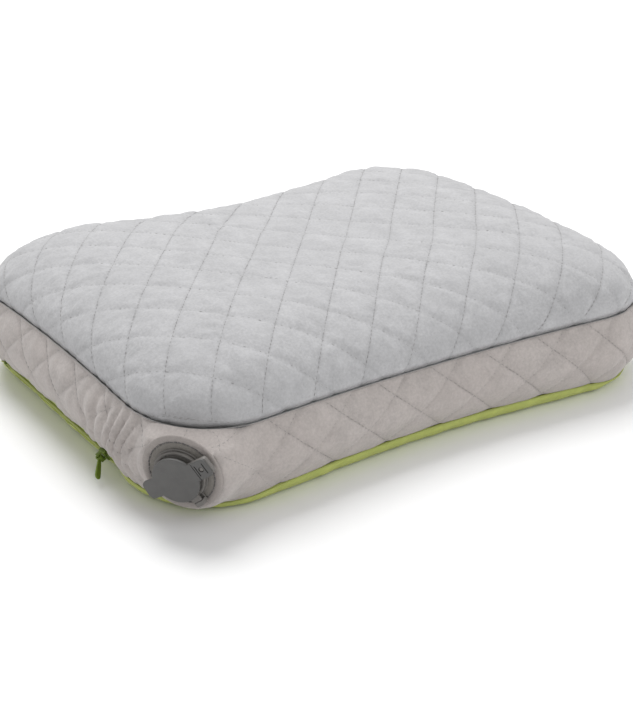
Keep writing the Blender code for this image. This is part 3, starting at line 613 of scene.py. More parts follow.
def flattened(points, share):
    """Band points near the valve, brought onto the flat ground that it stands on."""
    out, height, radius = from_valve(points)
    ground = -FLAT_FALL * (np.maximum(0.0, radius - FLAT_RADIUS) / FLAT_FALL_WIDTH) ** 2
    fade = smooth_step((FLAT_BLEND_END - radius) / (FLAT_BLEND_END - FLAT_BLEND_START))
    near_seam = np.clip(np.minimum(share, 1 - share) / SEAM_SHARE, 0.0, 1.0)
    weight = np.where(height > -VALVE_REACH, fade, 0.0) * near_seam
    return points + out * ((ground - height) * weight)[:, None]


def band_surface(turn, share):
    body = bpy.context.scene.pillow_body
    seam, foot, ways, _ = edges(turn)
    share = np.clip(share, 0.0, 1.0)
    bulge = body.band_bulge * np.sin(math.pi * share)
    flat = seam[:, :2] * (1 - share)[:, None] + foot[:, :2] * share[:, None]
    flat += ways * bulge[:, None]
    z = seam[:, 2] * (1 - share) + foot[:, 2] * share
    return flattened(np.column_stack([flat, z]), share)


def base_surface(turn, share):
    """Share runs from 0 at the base seam over the rim, 1 at the flat's edge, to 2 at the middle."""
    body = bpy.context.scene.pillow_body
    _, foot, ways, _ = edges(turn)
    rim = np.clip(share, 0.0, 1.0)
    flat = np.clip(2 - share, 0.0, 1.0)
    edge = foot[:, :2] - ways * (body.rim_width * rim)[:, None]
    return np.column_stack([edge * flat[:, None], foot[:, 2] * (1 - rim) ** (2 + clear_of_zip(foot))])


def ways_out(surface, turn, share):
    """Outward normals of a surface, by small steps along it."""
    sideways = surface(turn + NUDGE, share) - surface(turn - NUDGE, share)
    downwards = surface(turn, share + NUDGE) - surface(turn, share - NUDGE)
    normal = np.cross(downwards, sideways)
    return normal / np.maximum(np.linalg.norm(normal, axis=1, keepdims=True), TINY)


def top_ways(turn, share):
    """The top's outward normals, taken just clear of its middle and its seam."""
    return ways_out(top_surface, turn, np.clip(share, NEAR_MIDDLE, NEAR_SEAM))


def band_ways(turn, share):
    """The band's outward normals, taken just clear of its seams."""
    return ways_out(band_surface, turn, np.clip(share, NEAR_EDGE, 1 - NEAR_EDGE))


class TopCloth:
    """Lays the flat cloth over the crown: even steps of cloth from its middle out to its seam."""

    def __init__(self, rounds=256, steps=400):
        self.turns = np.linspace(0, 4, rounds, endpoint=False)
        shares = np.linspace(0, 1, steps)
        runs = []
        for turn in self.turns:
            line = top_surface(np.full(steps, turn), shares)
            runs.append(np.concatenate([[0], np.cumsum(np.linalg.norm(np.diff(line, axis=0), axis=1))]))
        runs = np.array(runs)
        self.reach = runs[:, -1]
        self.shares = shares
        self.mean_run = (runs / runs[:, -1:]).mean(axis=0)
        seam = edges(self.turns)[0][:, :2]
        self.headings = np.arctan2(seam[:, 1], seam[:, 0])

    def share(self, even):
        """Share of the way out, for an even share of the cloth."""
        return np.interp(even, self.mean_run, self.shares)

    def reach_at(self, turn):
        return np.interp(turn % 4, np.append(self.turns, 4), np.append(self.reach, self.reach[0]))

    def flat_place(self, turn, even):
        """Where a point lay on the flat cloth."""
        seam = edges(turn)[0][:, :2]
        way = seam / np.linalg.norm(seam, axis=1, keepdims=True)
        return way * (self.reach_at(turn) * even)[:, None]

    def from_flat(self, flat):
        """Turn and even share of places on the flat cloth."""
        heading = np.arctan2(flat[:, 1], flat[:, 0])
        unwrapped = np.unwrap(self.headings)
        start = unwrapped[0]
        heading = start + (heading - start) % (2 * math.pi)
        turn = np.interp(heading, np.append(unwrapped, start + 2 * math.pi), np.append(self.turns, 4))
        even = np.linalg.norm(flat, axis=1) / self.reach_at(turn)
        return turn % 4, even


class BandCloth:
    """The band's cloth, as a strip: run round the seam, and depth down from it."""

    def __init__(self, rounds=800, steps=30):
        turns = np.linspace(0, 4, rounds + 1)
        seam = edges(turns)[0]
        self.turns = turns
        self.runs = np.concatenate([[0], np.cumsum(np.linalg.norm(np.diff(seam, axis=0), axis=1))])
        line = band_surface(np.full(steps, 0.5), np.linspace(0, 1, steps))
        self.depth = np.linalg.norm(np.diff(line, axis=0), axis=1).sum()

    def flat_place(self, turn, share):
        return np.column_stack([np.interp(turn, self.turns, self.runs), share * self.depth])

    def from_flat(self, flat):
        return np.interp(flat[:, 0] % self.runs[-1], self.runs, self.turns), flat[:, 1] / self.depth


# ---------------------------------------------------------------- quilting


def family(slant, lean, spacing, shift):
    """One family of parallel lines on a flat cloth: its unit normal, spacing and shift."""
    return np.array([math.sin(slant), lean * math.cos(slant)]), spacing, shift


def top_families():
    """The top's rising and falling lines."""
    quilting = bpy.context.scene.pillow_quilting
    rising = family(quilting.rising_slant, -1, quilting.rising_spacing, quilting.rising_shift)
    falling = family(quilting.falling_slant, 1, quilting.falling_spacing, quilting.falling_shift)
    return rising, falling


def band_families(cloth):
    """The band's rising and falling lines: a whole number of each goes round it."""
    quilting = bpy.context.scene.pillow_quilting
    pace = cloth.runs[-1] / quilting.band_lines
    made = []
    for slant, lean, start in (
        (quilting.band_rising_slant, 1, quilting.band_rising_start),
        (quilting.band_falling_slant, -1, quilting.band_falling_start),
    ):
        made.append(family(slant, lean, pace * math.sin(slant), -start / pace))
    return made


def line_distances(flat, families):
    """Distance of places on the cloth from the nearest line of each family."""
    found = []
    for way, spacing, shift in families:
        count = flat @ way / spacing + shift
        found.append(np.abs(count - np.round(count)) * spacing)
    return found


def ripples(points, wavelength, seed, waves=14):
    """Smooth unevenness between -1 and 1 over a surface, the same each time for a seed."""
    random = np.random.default_rng(seed)
    ways = random.normal(size=(waves, 3))
    ways /= np.linalg.norm(ways, axis=1, keepdims=True)
    pace = 2 * math.pi / wavelength * random.uniform(0.7, 1.4, waves)
    phase = random.uniform(0, 2 * math.pi, waves)
    return np.sin(points @ ways.T * pace + phase).sum(axis=1) / math.sqrt(waves)


# how far the painted shade reaches out from a seam
SEAM_SHADE = 0.0009
SEAM_LOFT = 0.45
SEAM_LOFT_WIDTH = 1.2
LOFT_POWER = 0.8
LOFT_SWING = 0.22
LOFT_WAVE = 0.055
CREASE_DEPTH = 0.00016
CREASE_WAVE = 0.012
WRINKLE_DEPTH = 0.00005
WRINKLE_WAVE = 0.0045
CLOTH_FRAMES = 20
CLOTH_PRESSURE = 4.0
CLOTH_SLACK = 0.02
HELD = 0.0013
FULL_SWELL = 96
MOST_SWELL = 1.15
SIMULATED_SHARE = 0.65


def swollen(points, out, held, faces):
    """How far cloth held along its stitches swells out, as a share of its usual most: a simulation."""
    scene = bpy.context.scene
    item = placed("swelling", mesh_of("swelling", points, faces))
    group = item.vertex_groups.new(name="held")
    group.add([int(k) for k in np.nonzero(held)[0]], 1.0, "REPLACE")
    change = item.modifiers.new("cloth", "CLOTH")
    change.settings.vertex_group_mass = "held"
    change.settings.use_pressure = True
    change.settings.uniform_pressure_force = CLOTH_PRESSURE
    change.settings.shrink_min = -CLOTH_SLACK
    change.settings.effector_weights.gravity = 0.0
    change.collision_settings.use_collision = False
    change.point_cache.frame_start = 1
    change.point_cache.frame_end = CLOTH_FRAMES
    for step in range(1, CLOTH_FRAMES + 1):
        scene.frame_set(step)
    evaluated = item.evaluated_get(bpy.context.evaluated_depsgraph_get())
    moved = np.empty(3 * len(points))
    evaluated.data.vertices.foreach_get("co", moved)
    rise = ((moved.reshape(-1, 3) - points) * out).sum(axis=1)
    bpy.data.objects.remove(item)
    scene.frame_set(1)
    return np.clip(rise / np.percentile(rise, FULL_SWELL), 0.0, MOST_SWELL)


def cloth_swell(points, out, flat, even):
    """The top's swelling at each point of its grid, simulated on every second row and column."""
    shape = (TOP_ROWS + 1, TOP_COLUMNS + 1)
    picked = np.arange(shape[0] * shape[1]).reshape(shape)[::2, ::2]
    rows, columns = picked.shape
    faces = []
    for j in range(rows - 1):
        for i in range(columns - 1):
            v = j * columns + i
            faces.append((v, v + 1, v + 1 + columns, v + columns))
    chosen = picked.ravel()
    nearest = np.minimum(*line_distances(flat[chosen], top_families()))
    held = (nearest < HELD) | (even[chosen] > 1 - TINY)
    coarse = swollen(points[chosen], out[chosen], held, faces).reshape(rows, columns)
    fine = np.zeros(shape)
    fine[::2, ::2] = coarse
    fine[1::2, ::2] = (coarse[:-1] + coarse[1:]) / 2
    fine[:, 1::2] = (fine[:, :-2:2] + fine[:, 2::2]) / 2
    return fine.ravel()


def quilted(points, flat, from_seam, families, simulated=None):
    """Height of the quilting over the plain surface, and how near the stitches and the seam each point is,
    painted on the fabric as shade.
    """
    quilting = bpy.context.scene.pillow_quilting
    rising, falling = line_distances(flat, families)
    half = quilting.rising_spacing / 2
    swell = np.ones(len(flat))
    for gap in (rising, falling):
        swell *= np.sqrt(1 - (1 - np.minimum(gap / half, 1)) ** 2)
    if simulated is not None:
        swell = (1 - SIMULATED_SHARE) * swell + SIMULATED_SHARE * simulated
    near_seam = smooth_step(from_seam / (half * SEAM_LOFT_WIDTH))
    nearest = np.minimum(rising, falling)
    pinch = np.exp(-((nearest / quilting.groove_width) ** 2))
    loft = 1 + LOFT_SWING * ripples(points, LOFT_WAVE, 3)
    crease = ripples(points, CREASE_WAVE, 5) * CREASE_DEPTH
    crease += ripples(points, WRINKLE_WAVE, 7) * WRINKLE_DEPTH
    share = SEAM_LOFT + (1 - SEAM_LOFT) * near_seam
    body = quilting.puff * (swell**LOFT_POWER * share * loft - 1)
    roll = np.clip(1 - from_seam / quilting.seam_roll, 0.0, 1.0)
    turned_in = quilting.seam_depth * (1 - np.sqrt(1 - roll**2))
    # painted shade: near 1 on the stitches and at the seam, fading away from them
    painted_stitch_shade = np.maximum(pinch, np.exp(-((from_seam / SEAM_SHADE) ** 2)))
    return body + crease * (1 - pinch) - quilting.groove_depth * pinch - turned_in, painted_stitch_shade


GATHER_PLACE = (-0.19, -0.086, 0.034)
GATHER_LENGTH = 0.034
GATHER_HEIGHT = 0.024
GATHER_LEAN = 0.32
GATHER_PITCH = 0.0094
GATHER_DEPTH = 0.0037
GATHER_SIDE = -0.14


def gathers(points):
    """Folds where the band is drawn together beside the valve's corner, on the short side."""
    rel = points - np.array(GATHER_PLACE)
    along = rel[:, 1] + GATHER_LEAN * rel[:, 2]
    window = np.exp(-((rel[:, 1] / GATHER_LENGTH) ** 2) - ((rel[:, 2] / GATHER_HEIGHT) ** 2))
    window *= points[:, 0] < GATHER_SIDE
    stray = 1.1 * np.sin(along * 75 + 0.6) + 0.7 * np.sin(rel[:, 2] * 150 + along * 60)
    folds = np.abs(np.sin(along * math.pi / GATHER_PITCH + stray)) ** 0.9
    uneven = 1 + 0.35 * np.sin(along * 190 + 2.0)
    return window * uneven * (folds - 0.6) * GATHER_DEPTH


TOP_COLUMNS = 200
TOP_ROWS = 158
TOP_INSIDE = (0.985, 0.95, 0.8, 0.55, 0.28, 0.08)


def build_top():
    """The quilted top: outside from a grid, inside from rings, one closed body."""
    body = bpy.context.scene.pillow_body
    cloth = TopCloth()
    across, up = np.meshgrid(np.linspace(-1, 1, TOP_COLUMNS + 1), np.linspace(-1, 1, TOP_ROWS + 1))
    across = across.ravel()
    up = up.ravel()
    even = np.maximum(np.abs(across), np.abs(up))
    safe = np.maximum(even, TINY)
    a = across / safe
    b = up / safe
    turn = np.select(
        [-up >= np.abs(across), across >= np.abs(up), up >= np.abs(across)],
        [(a + 1) / 2, 1 + (b + 1) / 2, 2 + (1 - a) / 2],
        3 + (1 - b) / 2,
    ) % 4
    share = cloth.share(even)
    points = top_surface(turn, share)
    out = top_ways(turn, share)
    flat = cloth.flat_place(turn, even)
    from_seam = (1 - even) * cloth.reach_at(turn)
    simulated = cloth_swell(points, out, flat, even)
    height, painted_stitch_shade = quilted(points, flat, from_seam, top_families(), simulated)
    skin = points + out * height[:, None]

    wide = TOP_COLUMNS + 1
    faces = []
    for j in range(TOP_ROWS):
        for i in range(TOP_COLUMNS):
            v = j * wide + i
            faces.append((v, v + 1, v + 1 + wide, v + wide))
    last = TOP_ROWS * wide
    rim = list(range(TOP_COLUMNS)) + [j * wide + TOP_COLUMNS for j in range(TOP_ROWS)]
    rim += [last + i for i in range(TOP_COLUMNS, 0, -1)] + [j * wide for j in range(TOP_ROWS, 0, -1)]
    rim_turn = turn[rim]
    all_points = [skin]
    count = len(skin)
    before = rim
    shades = [painted_stitch_shade]
    for even_share in TOP_INSIDE:
        ring_share = np.full(len(rim), float(cloth.share(even_share)))
        inner = top_surface(rim_turn, ring_share)
        inner = inner - ways_out(top_surface, rim_turn, ring_share) * body.top_thickness
        ring = list(range(count, count + len(rim)))
        faces += ring_faces(before, ring)
        all_points.append(inner)
        shades.append(np.zeros(len(rim)))
        count += len(rim)
        before = ring
    middle = all_points[-1].mean(axis=0)
    all_points.append(middle[None])
    shades.append(np.zeros(1))
    faces += [(before[i], count, before[(i + 1) % len(rim)]) for i in range(len(rim))]
    shade = np.concatenate(shades)
    return finished_skin("top_quilt", np.concatenate(all_points), faces, shade, "top_microfibre")


def finished_skin(name, points, faces, painted_stitch_shade, finish_name):
    mesh = mesh_of(name, points, faces)
    shade = mesh.attributes.new("painted_stitch_shade", "FLOAT", "POINT")
    shade.data.foreach_set("value", painted_stitch_shade.astype(np.float32))
    return piece(name, mesh, finish_name)


BAND_STEPS = 720
BAND_SKIN_ROWS = 36
BAND_INSIDE = (0.96, 0.7, 0.3, 0.04)
ROW_EASE = 0.5


def build_band():
    """The quilted band, outside and inside, one closed ring."""
    body = bpy.context.scene.pillow_body
    cloth = BandCloth()
    families = band_families(cloth)
    turn = np.linspace(0, 4, BAND_STEPS, endpoint=False)
    rings = []
    shades = []
    for k in range(BAND_SKIN_ROWS + 1):
        even = k / BAND_SKIN_ROWS
        eased = 0.5 - 0.5 * math.cos(math.pi * even)
        share = np.full(BAND_STEPS, eased * ROW_EASE + even * (1 - ROW_EASE))
        points = band_surface(turn, share)
        out = band_ways(turn, share)
        from_seam = np.minimum(share, 1 - share) * cloth.depth
        height, painted_stitch_shade = quilted(points, cloth.flat_place(turn, share), from_seam, families)
        calm = valve_calm(points)
        height = (height + gathers(points)) * calm
        rings.append(points + out * height[:, None])
        shades.append(painted_stitch_shade * calm)
    for share_value in BAND_INSIDE:
        share = np.full(BAND_STEPS, share_value)
        points = band_surface(turn, share)
        rings.append(points - band_ways(turn, share) * body.band_thickness)
        shades.append(np.zeros(BAND_STEPS))
    points, faces = joined_rings(rings)
    return finished_skin("band_quilt", points, faces, np.concatenate(shades), "band_microfibre")


CALM_MARGIN = 0.001
CALM_WIDTH = 0.012


def valve_calm(points):
    """0 on the ground that the valve's ring is sewn flat on, 1 clear of it."""
    _, height, radius = from_valve(points)
    beyond = radius - bpy.context.scene.pillow_valve.hem_radius + CALM_MARGIN
    return np.where(height > -VALVE_REACH, smooth_step(beyond / CALM_WIDTH), 1.0)


RIM_SHARES = (0.0, 0.08, 0.16, 0.26, 0.38, 0.5, 0.62, 0.75, 0.88)
FLAT_SHARES = (1.0, 1.08, 1.16, 1.28, 1.45, 1.65, 1.85, 1.95)
HEM_ROLL = 0.003
HEM_TUCK = 0.0016
MOST_CRUMPLE = 0.0005
CRUMPLE_FADE = 0.004


def build_base():
    """The green base: it wraps up over the rim to the base seam."""
    body = bpy.context.scene.pillow_body
    turn = np.linspace(0, 4, BAND_STEPS, endpoint=False)
    inner = []
    outer = []
    for share_value in RIM_SHARES + FLAT_SHARES:
        share = np.full(BAND_STEPS, share_value)
        points = base_surface(turn, share)
        out = ways_out(base_surface, turn, np.clip(share, 0.004, 1.9))
        from_seam = share_value * body.rim_width
        roll = max(0.0, 1 - from_seam / HEM_ROLL)
        tuck = HEM_TUCK * (1 - math.sqrt(1 - roll**2))
        rise = np.clip(points[:, 2] / CRUMPLE_FADE, 0.0, 1.0)
        crumple = (ripples(points, 0.017, 11) * 0.00035 + ripples(points, 0.006, 12) * 0.00010) * rise
        outer.append(points + out * (np.minimum(crumple, MOST_CRUMPLE) - tuck)[:, None])
        inner.append(points - out * (body.base_thickness + tuck * 0.5))
    rings = inner[::-1] + outer
    points, faces = joined_rings(rings, closed=False)
    points = np.concatenate([points, [[0, 0, body.base_thickness]], [[0, 0, 0]]])
    count = BAND_STEPS
    inner_middle = len(rings) * count
    outer_middle = inner_middle + 1
    last = (len(rings) - 1) * count
    faces += [(inner_middle, i, (i + 1) % count) for i in range(count)]
    faces += [(outer_middle, last + (i + 1) % count, last + i) for i in range(count)]
    return finished_skin("base_cover", points, faces, np.zeros(len(points)), "base_taffeta")


# ---------------------------------------------------------------- stitches


class Maker:
    """A geometry node tree with named inputs, filled through one method."""

    def __init__(self, name, inputs):
        self.tree = bpy.data.node_groups.new(name, "GeometryNodeTree")
        self.tree.interface.new_socket("Geometry", in_out="OUTPUT", socket_type="NodeSocketGeometry")
        for given, kind in inputs.items():
            self.tree.interface.new_socket(given, in_out="INPUT", socket_type="NodeSocket" + kind)
        self.given = self.add("NodeGroupInput")

    def add(self, kind, settings=None, sockets=None):
        """Adds a node and gives back its outputs."""
        node = self.tree.nodes.new(kind)
        for key, value in (settings or {}).items():
            setattr(node, key, value)
        for key, value in (sockets or {}).items():
            if isinstance(value, bpy.types.NodeSocket):
                self.tree.links.new(value, node.inputs[key])
            else:
                node.inputs[key].default_value = value
        return node.outputs

    def finished(self, copies, smooth=False):
        """Makes the copies real, gives them their material and ends the tree."""
        real = self.add("GeometryNodeRealizeInstances", {}, {0: copies})[0]
        if smooth:
            real = self.add("GeometryNodeSetShadeSmooth", {}, {0: real})[0]
        covering = {"Geometry": real, "Material": self.given["Material"]}
        self.add("NodeGroupOutput", {}, {0: self.add("GeometryNodeSetMaterial", {}, covering)[0]})
        return self.tree


def stitch_tree():
    """Stitches along lines: each is a small spindle laid along the line, on the cloth."""
    inputs = dict(Lines="Geometry", Pitch="Float", Length="Float", Thread="Float", Material="Material")
    maker = Maker("stitches_along_lines", inputs)
    add = maker.add
    given = maker.given
    curve = add("GeometryNodeMeshToCurve", {}, {0: given["Lines"]})[0]
    spacing = {"Curve": curve, "Length": given["Pitch"]}
    spaced = add("GeometryNodeResampleCurve", {"mode": "LENGTH"}, spacing)[0]
    along = add("GeometryNodeInputTangent")[0]
    up = add("GeometryNodeInputNamedAttribute", {"data_type": "FLOAT_VECTOR"}, {"Name": "up"})[0]
    level = add("FunctionNodeAlignRotationToVector", {"axis": "X"}, {"Vector": along})[0]
    axes = {"axis": "Z", "pivot_axis": "X"}
    upright = add("FunctionNodeAlignRotationToVector", axes, {"Rotation": level, "Vector": up})[0]
    ball = add("GeometryNodeMeshUVSphere", {}, {"Segments": 6, "Rings": 4, "Radius": 1.0})[0]
    half = add("ShaderNodeMath", {"operation": "MULTIPLY"}, {0: given["Length"], 1: 0.5})[0]
    size = add("ShaderNodeCombineXYZ", {}, {"X": given["Thread"], "Y": given["Thread"], "Z": half})[0]
    spindle = add("GeometryNodeTransform", {}, {"Geometry": ball, "Scale": size})[0]
    turning = {"Geometry": spindle, "Rotation": (0.0, math.pi / 2, 0.0)}
    laid = add("GeometryNodeTransform", {}, turning)[0]
    copying = {"Points": spaced, "Instance": laid, "Rotation": upright}
    return maker.finished(add("GeometryNodeInstanceOnPoints", {}, copying)[0], smooth=True)


def with_nodes(item, tree, values, name):
    """Runs a node tree on an object with its named inputs set, and keeps the plain mesh."""
    change = item.modifiers.new("nodes", "NODES")
    change.node_group = tree
    for entry in tree.interface.items_tree:
        if entry.name in values:
            change[entry.identifier] = values[entry.name]
    return baked(item, name)


def lines_object(name, lines):
    """Lines as loose edges, each point with the way up off the cloth."""
    points = np.concatenate([line for line, _ in lines])
    ups = np.concatenate([up for _, up in lines])
    joins = []
    start = 0
    for line, _ in lines:
        joins += [(start + k, start + k + 1) for k in range(len(line) - 1)]
        start += len(line)
    mesh = bpy.data.meshes.new(name)
    mesh.from_pydata([tuple(p) for p in points], joins, [])
    up = mesh.attributes.new("up", "FLOAT_VECTOR", "POINT")
    up.data.foreach_set("vector", ups.astype(np.float32).ravel())
    return placed(name, mesh)


def skin_tree(skin):
    """A skin's faces, ready to be met by rays."""
    points = [v.co for v in skin.data.vertices]
    return BVHTree.FromPolygons(points, [tuple(p.vertices) for p in skin.data.polygons])


def onto(tree, points, ways):
    """Lines' points dropped onto a skin along the ways out, their thread a little sunk in it."""
    sink = bpy.context.scene.pillow_quilting.thread * THREAD_SINK
    found = []
    for point, way in zip(points, ways):
        start = Vector(point + way * DROP)
        hit = tree.ray_cast(start, -Vector(way), 3 * DROP)
        found.append(point if hit[0] is None else np.array(hit[0]) - way * sink)
    return np.array(found)


def bent(corners, steps):
    """Points of a smooth curve that bends towards its corners."""
    t = np.linspace(0, 1, steps)[:, None]
    degree = len(corners) - 1
    weights = [math.comb(degree, k) * t**k * (1 - t) ** (degree - k) for k in range(degree + 1)]
    return sum(weight * np.array(corner) for weight, corner in zip(weights, corners))


THREAD_SINK = 0.2
DROP = 0.012
LINE_STEP = 0.0025
LINE_MARGIN = 0.004
FEWEST_POINTS = 6

# a second row of stitches bows up off the seam at the valve's corner
TUCK_HALF = 0.085
TUCK_RISE = 0.0046
TUCK_STEPS = 40


def top_lines(skin):
    """Every quilting line of the top, as points on its skin."""
    cloth = TopCloth()
    tree = skin_tree(skin)
    reach = cloth.reach.max()
    runs = np.arange(-reach, reach, LINE_STEP)
    lines = []
    for way, spacing, shift in top_families():
        onwards = np.array([-way[1], way[0]])
        most = int(reach / spacing) + 1
        for count in range(-most, most + 1):
            flat = way * ((count - shift) * spacing) + runs[:, None] * onwards
            turn, even = cloth.from_flat(flat)
            inside = even < 1 - LINE_MARGIN / reach
            if inside.sum() < FEWEST_POINTS:
                continue
            turn = turn[inside]
            share = cloth.share(even[inside])
            out = top_ways(turn, share)
            lines.append((onto(tree, top_surface(turn, share), out), out))
    turn = np.linspace(-TUCK_HALF, TUCK_HALF, TUCK_STEPS)
    even = 1 - TUCK_RISE * (1 - (turn / TUCK_HALF) ** 2) / cloth.reach_at(turn)
    share = cloth.share(even)
    out = top_ways(turn, share)
    lines.append((onto(tree, top_surface(turn, share), out), out))
    return lines


# turns round and shares down the band: two lines that the valve pulls aside, and the seam of its ends
VALVE_LINES = (
    ((0.037, 0.005), (0.11, 0.03), (0.085, 0.5), (0.145, 0.95)),
    ((0.084, 0.005), (0.084, 0.045), (0.057, 0.063)),
    ((0.003, 0.01), (0.003, 0.11)),
)
VALVE_LINE_STEPS = 32
BAND_LINE_TOP = 0.05
BAND_LINE_FOOT = 0.955
BAND_LINE_STEPS = 30


def band_lines(skin):
    """Every quilting line of the band, as points on its skin, clear of the valve."""
    lines_round = round(bpy.context.scene.pillow_quilting.band_lines)
    hem_radius = bpy.context.scene.pillow_valve.hem_radius
    cloth = BandCloth()
    tree = skin_tree(skin)
    lines = []
    depth = np.linspace(BAND_LINE_TOP, BAND_LINE_FOOT, BAND_LINE_STEPS) * cloth.depth
    for way, spacing, shift in band_families(cloth):
        pace = spacing / way[0]
        lean = -way[1] / way[0]
        for count in range(1, lines_round):
            run = (count - shift) * pace + lean * depth
            turn, share = cloth.from_flat(np.column_stack([run, depth]))
            points = band_surface(turn, share)
            out = band_ways(turn, share)
            _, height, radius = from_valve(points)
            clear = (radius > hem_radius + CALM_MARGIN) | (height < -VALVE_REACH)
            on_skin = onto(tree, points, out)
            start = None
            for k in range(len(clear) + 1):
                if k < len(clear) and clear[k]:
                    start = k if start is None else start
                elif start is not None:
                    if k - start > 3:
                        lines.append((on_skin[start:k], out[start:k]))
                    start = None
    for corners in VALVE_LINES:
        turn, share = bent(corners, VALVE_LINE_STEPS).T
        points = band_surface(turn, share)
        out = band_ways(turn, share)
        lines.append((onto(tree, points, out), out))
    return lines


SEAM_STEPS = 899


def seam_line(share, lift):
    """A closed line of points round the band, lifted off it."""
    turn = np.linspace(0, 4, SEAM_STEPS, endpoint=False)
    ring = np.full(len(turn), share)
    return band_surface(turn, ring) + band_ways(turn, ring) * lift


TREES = {}


def stitched_piece(name, lines, finish_name, pitch, stitch, thread):
    """Stitches of a thread along lines, as one object."""
    values = {"Pitch": pitch, "Length": stitch, "Thread": thread, "Material": finish(finish_name)}
    return with_nodes(lines_object(name + "_lines", lines), TREES["stitches"], values, name)


def quilting_stitches(name, lines):
    """The stitches of a cover piece's quilting."""
    quilting = bpy.context.scene.pillow_quilting
    sizes = (quilting.stitch_pitch, quilting.stitch_length, quilting.thread)
    return stitched_piece(name, lines, "quilting_thread", *sizes)


# ---------------------------------------------------------------- turned and cut solids


def rounded(profile, radius, steps=4):
    """A profile with each corner off the axis rounded."""
    count = len(profile)
    made = []
    for k in range(count):
        here = Vector(profile[k])
        before = Vector(profile[k - 1]) - here
        after = Vector(profile[(k + 1) % count]) - here
        if here.x < TOUCHING or min(before.length, after.length) < TOUCHING:
            made.append(here)
            continue
        reach = min(radius, 0.45 * before.length, 0.45 * after.length)
        start = here + before.normalized() * reach
        end = here + after.normalized() * reach
        for step in range(steps + 1):
            t = step / steps
            made.append(start * (1 - t) ** 2 + here * 2 * t * (1 - t) + end * t**2)
    return [(p.x, p.y) for p in made]


def turned(profile, steps=96, at=(0.0, 0.0)):
    """A solid of revolution about Z, from a profile of radii and heights."""
    points = []
    rings = []
    for radius, z in profile:
        if radius < TOUCHING:
            rings.append([len(points)])
            points.append((at[0], at[1], z))
            continue
        rings.append(list(range(len(points), len(points) + steps)))
        for k in range(steps):
            turn = 2 * math.pi * k / steps
            points.append((at[0] + radius * math.cos(turn), at[1] + radius * math.sin(turn), z))
    faces = []
    for k in range(len(rings)):
        first = rings[k]
        second = rings[(k + 1) % len(rings)]
        if len(first) == 1 and len(second) == 1:
            continue
        for i in range(steps):
            j = (i + 1) % steps
            if len(first) == 1:
                faces.append((first[0], second[i], second[j]))
            elif len(second) == 1:
                faces.append((first[i], second[0], first[j]))
            else:
                faces.append((first[i], second[i], second[j], first[j]))
    return faced_out(mesh_of("turned", points, faces))


def rod(radius, low, high, steps, at=(0.0, 0.0)):
    """A solid round rod along Z, between two heights."""
    return turned([(0, high), (0, low), (radius, low), (radius, high)], steps, at)


BEVEL = {"segments": 3, "profile": 0.5, "affect": "EDGES"}


def plate(points, low, high, edge=0.0003):
    """A flat plate of an outline, its edges rounded."""
    made = bmesh.new()
    ring = [made.verts.new((x, y, low)) for x, y in points]
    face = made.faces.new(ring)
    raised = bmesh.ops.extrude_face_region(made, geom=[face])
    top = [v for v in raised["geom"] if isinstance(v, bmesh.types.BMVert)]
    bmesh.ops.translate(made, vec=(0, 0, high - low), verts=top)
    bmesh.ops.recalc_face_normals(made, faces=made.faces)
    if edge:
        sharp = [e for e in made.edges if abs(e.verts[0].co.z - e.verts[1].co.z) < TOUCHING]
        bmesh.ops.bevel(made, geom=sharp, offset=edge, clamp_overlap=True, **BEVEL)
    mesh = bpy.data.meshes.new("plate")
    made.to_mesh(mesh)
    made.free()
    return mesh


def tongue_outline(way, start, end, width, corner, steps=7):
    """A strip pointing away from the axis, its far end's corners rounded."""
    half = width / 2
    points = [(start, -half)]
    for k in range(steps + 1):
        turn = -math.pi / 2 + math.pi / 2 * k / steps
        points.append((end - corner + corner * math.cos(turn), -half + corner + corner * math.sin(turn)))
    for k in range(steps + 1):
        turn = math.pi / 2 * k / steps
        points.append((end - corner + corner * math.cos(turn), half - corner + corner * math.sin(turn)))
    points.append((start, half))
    c = math.cos(way)
    s = math.sin(way)
    return [(c * x - s * y, s * x + c * y) for x, y in points]


def tongue(way, start, end, width, low, high, corner=0.0015, edge=0.0003):
    return plate(tongue_outline(way, start, end, width, corner), low, high, edge)


def combined(name, base, joined, cut, finish_name, place, smooth=35, solver="EXACT"):
    """One body from a base mesh, meshes joined to it and meshes cut from it, stood in a frame."""
    main = placed(name, base)
    helpers = []
    for meshes, operation in ((joined, "UNION"), (cut, "DIFFERENCE")):
        for mesh in meshes:
            helper = placed("helper", mesh)
            change = main.modifiers.new("change", "BOOLEAN")
            change.operation = operation
            change.solver = solver
            change.object = helper
            helpers.append(helper)
    made = baked(main, name)
    for helper in helpers:
        bpy.data.objects.remove(helper)
    if len(made.data.polygons) == 0:
        raise RuntimeError(f"{name} came out empty")
    made.data.transform(place)
    covered(made.data, finish_name)
    made.data.set_sharp_from_angle(angle=math.radians(smooth))
    return made


def dressed(obj, body, slot, *nodes):
    """Rides on its body and stands for its nodes; its slot is not used."""
    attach(obj, body)
    if nodes:
        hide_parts(*nodes)
    return obj


